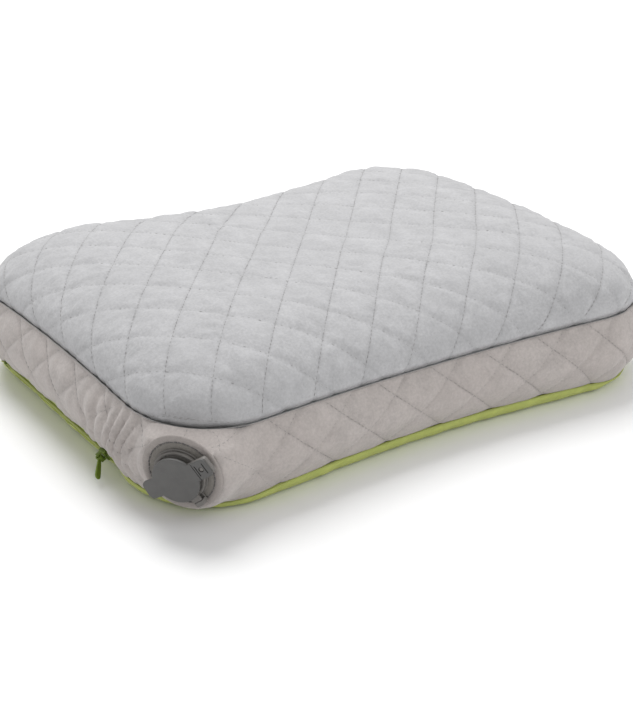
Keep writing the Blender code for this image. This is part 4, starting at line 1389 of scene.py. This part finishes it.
# the valve's heights over the band's flat ground, then its radii and widths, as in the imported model
RING_LOW = 0.0016
RING_HIGH = 0.00255
LIP_LOW = 0.00285
LIP_TOP = 0.00485
SHOULDER = 0.00305
HEAD_LOW = 0.00335
HEAD_TOP = 0.00455
PLUG_LOW = -0.00325
ARM_LOW = 0.00515
NECK_TOP = 0.00735
CAP_LOW = 0.00765
CAP_TOP = 0.00945
FLANGE_TOP = -0.0026
FLANGE_LOW = -0.0038
CLEARANCE = 0.0003
LIP_WALL = 0.0016
STRAP = 0.0012
PLUG_NECK = 0.0095
PLUG_NECK_BORE = 0.0077
CAP_FOLD = 0.015
CAP_STRAP_END = 0.024
PEG_DISTANCE = 0.019
PEG_RADIUS = 0.0012
FLANGE_RADIUS = 0.0149
RING_WIDTH = 0.0018
PLUG_STRAP_WIDTH = 0.006
PLUG_STRAP_END = 0.02
PLUG_POST_START = 0.01735
PLUG_LEAF_END = 0.01705
CAP_STRAP_WIDTH = 0.0107
ARM_WIDTH = 0.01
ARM_CORNER = 0.0018
SEAT_DEPTH = 0.0009
OVERLAP = 0.0006
GRID_THICKNESS = 0.001
GRID_BAR = 0.0013
HUB_RADIUS = 0.0026
VENT_RADIUS = 0.0013
FLAP_RADIUS = 0.0094
FLAP_THICKNESS = 0.0008
STEM_RADIUS = 0.001
BARB_RADIUS = 0.0019
BARB_TIP = 0.0011
BARB_HEIGHT = 0.0007
SKIRT_HEIGHT = 0.0015
SKIRT_WALL = 0.0015
LEAF_START = 0.004
TAB_TURN = 176
TAB_END = 0.0208
TAB_WIDTH = 0.0115
TAB_CORNER = 0.0034
GROOVE_STARTS = (-0.0029, 0.0022)
GROOVE_SPAN = 0.0007
GROOVE_LENGTH = 0.0066
GROOVE_CUT = 0.0006
CUT_REACH = 0.012


# ---------------------------------------------------------------- operators


class PILLOW_OT_top(bpy.types.Operator):
    """Makes the quilted top and its stitches"""

    bl_idname = "pillow.top"
    bl_label = "Quilted top"

    def execute(self, context):
        top = build_top()
        dressed(top, "root", "top_fabric", "top_panel", "top_wadding")
        dressed(quilting_stitches("top_stitches", top_lines(top)), "root", "top_fabric")
        return {"FINISHED"}


class PILLOW_OT_band(bpy.types.Operator):
    """Makes the quilted band round the sides and its stitches"""

    bl_idname = "pillow.band"
    bl_label = "Quilted band"

    def execute(self, context):
        band = build_band()
        lines = band_lines(band)
        band = openings_cut(band)
        dressed(band, "root", "band_fabric", "side_band", "band_wadding")
        dressed(quilting_stitches("band_stitches", lines), "root", "band_fabric")
        return {"FINISHED"}


def openings_cut(skin, bore=True):
    """Cuts the neck's hole and the zipper's window from a cover piece."""
    tools = [zip_window()]
    if bore:
        valve = bpy.context.scene.pillow_valve
        radius = valve.neck_radius + CLEARANCE
        hole = rod(radius, -CUT_REACH, CUT_REACH, 96)
        hole.transform(valve_frame())
        tools.append(hole)
    finish_name = skin.data.materials[0].name
    name = skin.name
    mesh = skin.data
    bpy.data.objects.remove(skin)
    return combined(name, mesh, [], tools, finish_name, Matrix.Identity(4), 60, "MANIFOLD")


class PILLOW_OT_base(bpy.types.Operator):
    """Makes the green base"""

    bl_idname = "pillow.base"
    bl_label = "Base"

    def execute(self, context):
        base = openings_cut(build_base(), bore=False)
        dressed(base, "root", "base_fabric", "base_panel")
        return {"FINISHED"}


class PILLOW_OT_seams(bpy.types.Operator):
    """Makes the welts of the two seams"""

    bl_idname = "pillow.seams"
    bl_label = "Seams"

    def execute(self, context):
        welt = cord_tube("top_seam_welt", seam_line(0.0, -0.0002), 0.00024, "seam_thread")
        dressed(welt, "root", "seam_tape")
        low = cord_tube("base_seam_welt", seam_line(1.0, -0.0008), 0.0004, "green_thread")
        dressed(low, "root", "seam_tape")
        return {"FINISHED"}


def cord_tube(name, points, radius, finish_name, sides=8):
    """A round welt along a closed line of points."""
    ahead = np.roll(points, -1, axis=0) - np.roll(points, 1, axis=0)
    ahead /= np.linalg.norm(ahead, axis=1, keepdims=True)
    up = np.array([0.0, 0.0, 1.0])
    side = np.cross(ahead, up)
    side /= np.linalg.norm(side, axis=1, keepdims=True)
    over = np.cross(side, ahead)
    rings = []
    for k in range(sides):
        turn = 2 * math.pi * k / sides
        rings.append(points + radius * (math.cos(turn) * side + math.sin(turn) * over))
    return piece(name, faced_out(mesh_of(name, *joined_rings(rings))), finish_name)


PATCH_TOP = 0.0013
PATCH_STEPS = 144
PATCH_RADII = (0.0165, 0.0181, 0.0186, 0.0191, 0.0196, 0.0201, 0.0210, 0.0220, 0.0226, 0.0230)
PATCH_INNER_STEP = 0.0006
STITCH_DIP = 0.00055
STITCH_DIP_WIDTH = 0.0005
HEM_RISE = 0.0004
HEM_MIDDLE = 0.0219
HEM_WIDTH = 0.0012
HEM_EDGE = 0.0007
WAVER = 0.00010
WAVER_FADE = 0.003
PATCH_STITCH_SINK = 0.0002
PATCH_STITCH = (0.0024, 0.0023, 0.00042)


class PILLOW_OT_patch(bpy.types.Operator):
    """Makes the fabric ring that is sewn round the valve, its hem and its stitches"""

    bl_idname = "pillow.patch"
    bl_label = "Valve ring"

    def execute(self, context):
        valve = context.scene.pillow_valve
        place = valve_frame()
        inner = valve.neck_radius + CLEARANCE
        radii = (inner, inner + PATCH_INNER_STEP, *PATCH_RADII, valve.hem_radius)
        turns = np.arange(PATCH_STEPS) * 2 * math.pi / PATCH_STEPS
        level, up, out = (np.array(place.col[k])[:3] for k in range(3))
        origin = np.array(place.translation)
        circle = np.cos(turns)[:, None] * level + np.sin(turns)[:, None] * up
        tops = []
        unders = []
        for radius in radii:
            ring = origin + radius * circle
            fall = -FLAT_FALL * (max(0.0, radius - FLAT_RADIUS) / FLAT_FALL_WIDTH) ** 2
            dip = STITCH_DIP * math.exp(-(((radius - valve.stitch_radius) / STITCH_DIP_WIDTH) ** 2))
            hem = HEM_RISE * math.exp(-(((radius - HEM_MIDDLE) / HEM_WIDTH) ** 2))
            edge = 0.0 if radius < valve.hem_radius else HEM_EDGE
            waver = WAVER * np.sin(turns * 23 + radius * 900) * min(1.0, (radius - inner) / WAVER_FADE)
            tops.append(ring + out * (PATCH_TOP + fall - dip + hem - edge + waver)[:, None])
            unders.append(ring + out * (CLEARANCE * 0.5 + fall))
        points, faces = joined_rings(tops[::-1] + unders)
        mesh = faced_out(mesh_of("valve_hem", points, faces))
        within = np.array([radius < valve.stitch_radius for radius in radii], dtype=np.float32)
        shade = mesh.attributes.new("inside", "FLOAT", "POINT")
        within = np.concatenate([within[::-1], within])
        shade.data.foreach_set("value", np.repeat(within, PATCH_STEPS))
        ring = piece("valve_hem_ring", mesh, "valve_hem")
        dressed(ring, "root", "band_fabric", "valve_patch")
        line = origin + valve.stitch_radius * circle + out * (PATCH_TOP - PATCH_STITCH_SINK)
        line = np.concatenate([line, line[:1]])
        lines = [(line, np.broadcast_to(out, line.shape))]
        stitches = stitched_piece("valve_stitches", lines, "valve_thread", *PATCH_STITCH)
        dressed(stitches, "root", "band_fabric")
        return {"FINISHED"}


def peg_place():
    """Where the peg that holds the cap's strap stands, seen along the valve."""
    way = bpy.context.scene.pillow_valve.strap_way
    return math.cos(way) * PEG_DISTANCE, math.sin(way) * PEG_DISTANCE


class PILLOW_OT_valve(bpy.types.Operator):
    """Makes the valve's body, its strap ring, the dump plug and the check flap"""

    bl_idname = "pillow.valve"
    bl_label = "Valve"

    def execute(self, context):
        valve = context.scene.pillow_valve
        place = valve_frame()
        lip = valve.lip_radius
        profile = [
            (lip, LIP_TOP),
            (lip - LIP_WALL, LIP_TOP),
            (lip - LIP_WALL, SHOULDER),
            (valve.neck_bore, SHOULDER),
            (valve.neck_bore, FLANGE_LOW),
            (FLANGE_RADIUS, FLANGE_LOW),
            (FLANGE_RADIUS, FLANGE_TOP),
            (valve.neck_radius, FLANGE_TOP),
            (valve.neck_radius, LIP_LOW),
            (lip, LIP_LOW),
        ]
        neck = combined("valve_neck", turned(rounded(profile, 0.00045)), [], [], "valve_plastic", place)
        dressed(neck, "root", "valve_plastic", "valve_body")

        inner = valve.neck_radius + CLEARANCE
        outer = inner + RING_WIDTH
        way = valve.plug_strap_way
        width = PLUG_STRAP_WIDTH
        arm_edge = (0.001, 0.0002)
        profile = [(outer, RING_HIGH), (inner, RING_HIGH), (inner, RING_LOW), (outer, RING_LOW)]
        ring = turned(rounded(profile, 0.0003))
        foot = tongue(way, outer - OVERLAP, PLUG_STRAP_END, width, RING_LOW, RING_HIGH, *arm_edge)
        post = tongue(way, PLUG_POST_START, PLUG_STRAP_END, width, RING_LOW, ARM_LOW + STRAP, *arm_edge)
        holder = combined("plug_strap_ring", ring, [foot, post], [], "valve_plastic", place)
        dressed(holder, "root", "valve_plastic", "strap_ring")

        radius = valve.neck_bore - CLEARANCE
        head = lip - LIP_WALL - CLEARANCE
        profile = [
            (PLUG_NECK, NECK_TOP),
            (PLUG_NECK_BORE, NECK_TOP),
            (PLUG_NECK_BORE, PLUG_LOW),
            (radius, PLUG_LOW),
            (radius, HEAD_LOW),
            (head, HEAD_LOW),
            (head, HEAD_TOP),
            (PLUG_NECK, HEAD_TOP),
        ]
        body = turned(rounded(profile, 0.0004))
        root = PLUG_NECK - OVERLAP
        arm_top = CAP_TOP - STRAP - CLEARANCE
        arm_high = CAP_LOW - CLEARANCE
        arm_sizes = (CAP_STRAP_END, ARM_WIDTH)
        arm = tongue(valve.strap_way, root, *arm_sizes, ARM_LOW, arm_high, ARM_CORNER)
        seat_start = valve.cap_radius + 3 * CLEARANCE
        seat_low = arm_high - SEAT_DEPTH
        seat = tongue(valve.strap_way, seat_start, *arm_sizes, seat_low, arm_top, ARM_CORNER)
        leaf = tongue(way, root, PLUG_LEAF_END, width, ARM_LOW, ARM_LOW + STRAP, 0.0006, 0.0002)
        peg_top = CAP_TOP - CLEARANCE
        profile = [(0, peg_top), (0, arm_high), (PEG_RADIUS, arm_high), (PEG_RADIUS, peg_top)]
        peg = turned(rounded(profile, 0.0003), 32, peg_place())
        grid_top = PLUG_LOW + GRID_THICKNESS
        reach = PLUG_NECK_BORE + 0.0008
        span = (-reach, reach, GRID_BAR, PLUG_LOW, grid_top)
        bars = [tongue(k * math.pi / 2 + math.pi / 4, *span, 0.0002, 0.0001) for k in range(2)]
        hub = rod(HUB_RADIUS, PLUG_LOW, grid_top, 32)
        drill = rod(VENT_RADIUS, PLUG_LOW - 0.001, grid_top + 0.001, 32)
        joined = [arm, seat, leaf, peg, *bars, hub]
        plug = combined("dump_plug_body", body, joined, [drill], "valve_plastic", place)
        dressed(plug, "plug", "valve_plastic", "dump_plug")

        top = PLUG_LOW - CLEARANCE
        barb_low = grid_top + 0.0012 + CLEARANCE
        profile = [
            (0, barb_low + BARB_HEIGHT),
            (0, top - FLAP_THICKNESS),
            (FLAP_RADIUS, top - FLAP_THICKNESS),
            (FLAP_RADIUS, top),
            (STEM_RADIUS, top),
            (STEM_RADIUS, barb_low),
            (BARB_RADIUS, barb_low),
            (BARB_TIP, barb_low + BARB_HEIGHT),
        ]
        disc = turned(rounded(profile, 0.00015), 64)
        flap = combined("check_flap_disc", disc, [], [], "flap_silicone", place)
        dressed(flap, "flap", "flap_rubber", "check_flap")
        return {"FINISHED"}


class PILLOW_OT_cap(bpy.types.Operator):
    """Makes the cap with its thumb tab, and the pegged end of its strap"""

    bl_idname = "pillow.cap"
    bl_label = "Cap"

    def execute(self, context):
        valve = context.scene.pillow_valve
        place = valve_frame()
        way = valve.strap_way
        radius = valve.cap_radius
        skirt = PLUG_NECK_BORE - 0.0005
        skirt_low = CAP_LOW - SKIRT_HEIGHT
        profile = [
            (0, CAP_TOP),
            (0, CAP_LOW),
            (skirt - SKIRT_WALL, CAP_LOW),
            (skirt - SKIRT_WALL, skirt_low),
            (skirt, skirt_low),
            (skirt, CAP_LOW),
            (radius, CAP_LOW),
            (radius, CAP_TOP),
        ]
        disc = turned(rounded(profile, 0.00055), 128)
        low = CAP_TOP - STRAP
        start = radius - LEAF_START
        fold = CAP_FOLD - CLEARANCE / 2
        leaf = tongue(way, start, fold, CAP_STRAP_WIDTH, low, CAP_TOP, 0.0003, 0.0002)
        tab_way = way + math.radians(TAB_TURN)
        tab = tongue(tab_way, start, TAB_END, TAB_WIDTH, low, CAP_TOP, TAB_CORNER)
        cap = combined("cap_disc", disc, [leaf, tab], [], "cap_plastic", place)
        dressed(cap, "cap", "cap_plastic", "valve_cap")

        fold = CAP_FOLD + CLEARANCE / 2
        strap = tongue(way, fold, CAP_STRAP_END, CAP_STRAP_WIDTH, low, CAP_TOP, 0.002)
        hole = rod(PEG_RADIUS + CLEARANCE, low - 0.0012, CAP_TOP + 0.0012, 40, peg_place())
        heights = (CAP_TOP - GROOVE_CUT, CAP_TOP + 0.001)
        grooves = []
        for near in GROOVE_STARTS:
            span = (PEG_DISTANCE + near, PEG_DISTANCE + near + GROOVE_SPAN)
            grooves.append(tongue(way, *span, GROOVE_LENGTH, *heights, 0.0003, 0))
        strap = combined("cap_strap_end", strap, [], [hole, *grooves], "cap_plastic", place)
        dressed(strap, "plug", "cap_plastic", "cap_strap")
        return {"FINISHED"}


def zip_frame():
    """Matrix of the zipper: local Z out of the pillow, Y along it, X up across it, at the base seam."""
    body = bpy.context.scene.pillow_body
    lean = bpy.context.scene.pillow_zip.lean
    out = Vector((-math.cos(lean), 0, -math.sin(lean)))
    along = Vector((0, 1, 0))
    turn = Matrix((along.cross(out), along, out)).transposed().to_4x4()
    return Matrix.Translation((-body.seam_length / 2, 0, body.base_seam_height)) @ turn


def block(low, high, edge=0.0):
    """A block between two corners, its edges rounded."""
    made = bmesh.new()
    bmesh.ops.create_cube(made, size=1.0)
    size = [b - a for a, b in zip(low, high)]
    middle = [(a + b) / 2 for a, b in zip(low, high)]
    bmesh.ops.scale(made, vec=size, verts=made.verts)
    bmesh.ops.translate(made, vec=middle, verts=made.verts)
    if edge:
        bmesh.ops.bevel(made, geom=made.edges[:], offset=edge, **BEVEL)
    mesh = bpy.data.meshes.new("block")
    made.to_mesh(mesh)
    made.free()
    return mesh


# the zipper's sizes across its face, then its slider's and its pull's
WINDOW_HALF = 0.0043
TAPE_WIDTH = 0.0062
TAPE_LOW = -0.0025
TAPE_HIGH = -0.0019
MIDDLE_GAP = 0.00015
TOOTH_REACH = 0.00185
TOOTH_HALF = 0.00045
TOOTH_LOW = -0.0016
TOOTH_HIGH = -0.0003
TEETH_MARGIN = 0.0023
FIRST_TOOTH = 0.0007
STOP_HALF = 0.00195
STOP_LENGTH = 0.002
SLIDER_AT = -0.05945
SLIDER_HALF = 0.00425
SLIDER_WIDE = 0.0034
SLIDER_NOSE = 0.9
SLIDER_PLATE = 0.0012
SLIDER_WALL = 0.00225
BAIL_POST = 0.0026
BAIL_RADIUS = 0.0006
PULL_HANG = 42
PULL_SPLAY = 8
EYE_BORE = 0.00115
EYE_RADIUS = 0.002
EYE_HALF = 0.0015
PULL_NECK = 0.0016
PULL_NECK_HALF = 0.0013


def zip_window():
    """The slot that the zipper sits in, to cut from the cover."""
    sizes = bpy.context.scene.pillow_zip
    low = (-WINDOW_HALF, sizes.front - CLEARANCE, -WINDOW_HALF)
    mesh = block(low, (WINDOW_HALF, sizes.back + CLEARANCE, WINDOW_HALF))
    mesh.transform(zip_frame())
    return mesh


def teeth_tree():
    """Coil teeth in a row: a count of one tooth at an even step."""
    inputs = dict(Tooth="Geometry", Start="Vector", Count="Int", Step="Vector", Material="Material")
    maker = Maker("coil_teeth", inputs)
    given = maker.given
    spacing = {"Count": given["Count"], "Start Location": given["Start"], "Offset": given["Step"]}
    row = maker.add("GeometryNodeMeshLine", {"mode": "OFFSET"}, spacing)[0]
    copying = {"Points": row, "Instance": given["Tooth"]}
    return maker.finished(maker.add("GeometryNodeInstanceOnPoints", {}, copying)[0])


class PILLOW_OT_zipper(bpy.types.Operator):
    """Makes the zipper's tapes, teeth and stops"""

    bl_idname = "pillow.zipper"
    bl_label = "Zipper"

    def execute(self, context):
        sizes = context.scene.pillow_zip
        place = zip_frame()
        tree = teeth_tree()
        pitch = sizes.tooth_pitch
        run = sizes.back - sizes.front - 2 * TEETH_MARGIN
        for side, sign in (("upper", 1), ("lower", -1)):
            reach = sorted((MIDDLE_GAP * sign, TAPE_WIDTH * sign))
            low = (reach[0], sizes.front, TAPE_LOW)
            strip = block(low, (reach[1], sizes.back, TAPE_HIGH), 0.00015)
            tape = combined("zip_tape_" + side + "_cloth", strip, [], [], "zip_tape", place)
            dressed(tape, "root", "zip_tape", "zip_tape_" + side)
            reach = sorted((MIDDLE_GAP * sign, TOOTH_REACH * sign))
            low = (reach[0], -TOOTH_HALF, TOOTH_LOW)
            helper = placed("tooth", block(low, (reach[1], TOOTH_HALF, TOOTH_HIGH), 0.00022))
            first = sizes.front + TEETH_MARGIN + FIRST_TOOTH + 0.25 * pitch * (1 + sign)
            values = {
                "Start": (0.0, first, 0.0),
                "Count": int(run / pitch) - 1,
                "Step": (0.0, pitch, 0.0),
                "Material": finish("coil_nylon"),
            }
            coil = with_nodes(helper, tree, values, "zip_teeth_" + side)
            coil.data.transform(place)
            coil.data.shade_smooth()
            coil.data.set_sharp_from_angle(angle=math.radians(40))
            dressed(coil, "root", "zip_coil", "zip_coil_" + side)
        for end, y in (("front", sizes.front), ("back", sizes.back - STOP_LENGTH)):
            low = (-STOP_HALF, y, TOOTH_LOW)
            stop_block = block(low, (STOP_HALF, y + STOP_LENGTH, 0.0001), 0.0004)
            made = combined("zip_end_" + end, stop_block, [], [], "slider_enamel", place)
            dressed(made, "root", "zip_coil", "zip_stop_" + end)
        return {"FINISHED"}


class PILLOW_OT_slider(bpy.types.Operator):
    """Makes the slider with its bail, and the pull that hangs from it"""

    bl_idname = "pillow.slider"
    bl_label = "Slider and pull"

    def execute(self, context):
        sizes = context.scene.pillow_zip
        place = zip_frame()
        half = SLIDER_WIDE
        back = SLIDER_AT - SLIDER_HALF
        front = SLIDER_AT + SLIDER_HALF
        nose = half * SLIDER_NOSE
        points = []
        for k in range(25):
            turn = math.pi * k / 24
            points.append((half * math.cos(turn), front - nose + nose * math.sin(turn)))
        points += [(-half, back + 0.0012), (-half + 0.001, back)]
        points += [(half - 0.001, back), (half, back + 0.0012)]
        top_plate = plate(points, 0.0, SLIDER_PLATE, 0.00035)
        joined = []
        for sign in (1, -1):
            edge = sorted((SLIDER_WALL * sign, half * sign))
            low = (edge[0], back + 0.0003, -0.0013)
            joined.append(block(low, (edge[1], front - 0.0022, 0.0010), 0.0003))
        bar_height = SLIDER_PLATE + EYE_RADIUS + CLEARANCE
        for sign in (1, -1):
            x = sign * BAIL_POST
            low = (x - BAIL_RADIUS, SLIDER_AT - 2 * BAIL_RADIUS, 0.0008)
            high = (x + BAIL_RADIUS, SLIDER_AT + 2 * BAIL_RADIUS, bar_height + 0.0008)
            joined.append(block(low, high, 0.0003))
        bar_place = Matrix.Translation((0, SLIDER_AT, bar_height))
        bar = rod(BAIL_RADIUS, -BAIL_POST, BAIL_POST, 24)
        bar.transform(bar_place @ Matrix.Rotation(math.pi / 2, 4, "Y"))
        joined.append(bar)
        slider = combined("slider_body", top_plate, joined, [], "slider_enamel", place)
        dressed(slider, "slider", "zip_slider", "zip_slider")

        hang = Matrix.Rotation(-math.radians(PULL_HANG), 4, "Y")
        splay = Matrix.Rotation(-math.radians(PULL_SPLAY), 4, "Y")
        stand = place @ bar_place @ Matrix.Rotation(-math.pi / 2, 4, "Z") @ hang
        stand = stand @ Matrix.Rotation(math.pi / 2, 4, "X") @ splay
        profile = [
            (EYE_BORE, EYE_HALF),
            (EYE_BORE, -EYE_HALF),
            (EYE_RADIUS, -EYE_HALF),
            (EYE_RADIUS, EYE_HALF),
        ]
        eye = turned(rounded(profile, 0.0003), 40)
        drop = pull_outline(sizes.pull_length, sizes.pull_width)
        leaf = plate(drop, -0.0006, 0.0006, 0.0004)
        leaf.transform(Matrix.Rotation(math.pi / 2, 4, "X"))
        hole = rod(EYE_BORE, -0.004, 0.004, 40)
        pull = combined("zip_pull_tab", leaf, [eye], [hole], "pull_rubber", stand, 40)
        dressed(pull, "pull", "zip_pull", "zip_pull")
        return {"FINISHED"}


def pull_outline(reach, width, steps=14):
    """The pull's leaf: narrow at its eye, widest past its middle, with a round end."""
    upper = []
    for k in range(steps + 1):
        x = PULL_NECK + (reach - PULL_NECK - width / 2) * k / steps
        swell = math.sin(k / steps * math.pi / 2) ** 1.2
        upper.append((x, PULL_NECK_HALF + (width / 2 - PULL_NECK_HALF) * swell))
    centre = reach - width / 2
    for k in range(1, steps):
        turn = math.pi / 2 - math.pi * k / steps
        upper.append((centre + width / 2 * math.cos(turn), width / 2 * math.sin(turn)))
    lower = [(x, -y) for x, y in reversed(upper[: steps + 1])]
    return [(x, -y) for x, y in upper + lower]


class PILLOW_OT_inside(bpy.types.Operator):
    """Gives the air bladder inside the cover and the tape that binds its seam their finishes"""

    bl_idname = "pillow.inside"
    bl_label = "Inside"

    def execute(self, context):
        for name, finish_name in (("air_bladder", "bladder_film"), ("top_seam_tape", "wadding")):
            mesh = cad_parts[name].data
            mesh.materials.clear()
            mesh.materials.append(finish(finish_name))
        return {"FINISHED"}


CAMERA_PLACE = (-0.4941, -0.7508, 0.4186)
CAMERA_WAY = (0.5012, 0.7572, -0.4189)
CAMERA_LENS = 74.6
FLOOR_HALF = 9.0
WORLD_STRENGTH = 0.58


class PILLOW_OT_stage(bpy.types.Operator):
    """Makes the floor, the lights and the camera"""

    bl_idname = "pillow.stage"
    bl_label = "Stage"

    def execute(self, context):
        scene = context.scene
        camera = placed("camera", bpy.data.cameras.new("camera"))
        camera.location = CAMERA_PLACE
        camera.rotation_euler = Vector(CAMERA_WAY).to_track_quat("-Z", "Y").to_euler()
        camera.data.sensor_fit = "VERTICAL"
        camera.data.sensor_height = 36.0
        camera.data.lens = CAMERA_LENS
        scene.camera = camera
        scene.view_settings.view_transform = "Standard"

        corners = [(x * FLOOR_HALF, y * FLOOR_HALF, 0) for x, y in CORNERS]
        floor = mesh_of("floor", corners, [(0, 1, 2, 3)])
        ground = placed("floor", floor)
        graph = Graph("pale_floor")
        floor.materials.append(graph.finished((0.92, 0.92, 0.92, 1.0), 0.9, Specular_IOR_Level=0.1))

        world = bpy.data.worlds.new("studio")
        scene.world = world
        world.use_nodes = True
        backdrop = world.node_tree.nodes["Background"]
        backdrop.inputs["Color"].default_value = (1.0, 1.0, 1.0, 1.0)
        backdrop.inputs["Strength"].default_value = WORLD_STRENGTH
        self.lamp("key", (0.15, 0.9, 1.75), 1.4, 31.0)
        self.lamp("fill", (0.8, -1.5, 1.1), 1.6, 8.5)
        return {"FINISHED"}

    def lamp(self, name, place, size, power):
        light = bpy.data.lights.new(name, "AREA")
        light.shape = "DISK"
        light.size = size
        light.energy = power
        made = placed(name, light)
        made.location = place
        aim = Vector((0.0, 0.0, 0.05)) - Vector(place)
        made.rotation_euler = aim.to_track_quat("-Z", "Y").to_euler()


class PILLOW_PT_pieces(bpy.types.Panel):
    """Lists the pillow's operators"""

    bl_idname = "PILLOW_PT_pieces"
    bl_label = "Camp pillow"
    bl_space_type = "VIEW_3D"
    bl_region_type = "UI"
    bl_category = "Pillow"

    def draw(self, context):
        for operator in OPERATORS:
            self.layout.operator(operator.bl_idname)


OPERATORS = (
    PILLOW_OT_stage,
    PILLOW_OT_top,
    PILLOW_OT_band,
    PILLOW_OT_base,
    PILLOW_OT_seams,
    PILLOW_OT_patch,
    PILLOW_OT_valve,
    PILLOW_OT_cap,
    PILLOW_OT_zipper,
    PILLOW_OT_slider,
    PILLOW_OT_inside,
)
GROUPS = {
    "pillow_body": PillowBody,
    "pillow_quilting": PillowQuilting,
    "pillow_valve": PillowValve,
    "pillow_zip": PillowZip,
    "pillow_colours": PillowColours,
}


def register():
    for group in GROUPS.values():
        bpy.utils.register_class(group)
    for name, group in GROUPS.items():
        setattr(bpy.types.Scene, name, PointerProperty(type=group))
    for entry in (*OPERATORS, PILLOW_PT_pieces):
        bpy.utils.register_class(entry)


def unregister():
    for entry in (PILLOW_PT_pieces, *reversed(OPERATORS)):
        bpy.utils.unregister_class(entry)
    for name in GROUPS:
        delattr(bpy.types.Scene, name)
    for group in reversed(GROUPS.values()):
        bpy.utils.unregister_class(group)


def main():
    register()
    TREES["stitches"] = stitch_tree()
    for operator in OPERATORS:
        group, name = operator.bl_idname.split(".")
        getattr(getattr(bpy.ops, group), name)()
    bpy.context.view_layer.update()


if __name__ == "__main__":
    main()
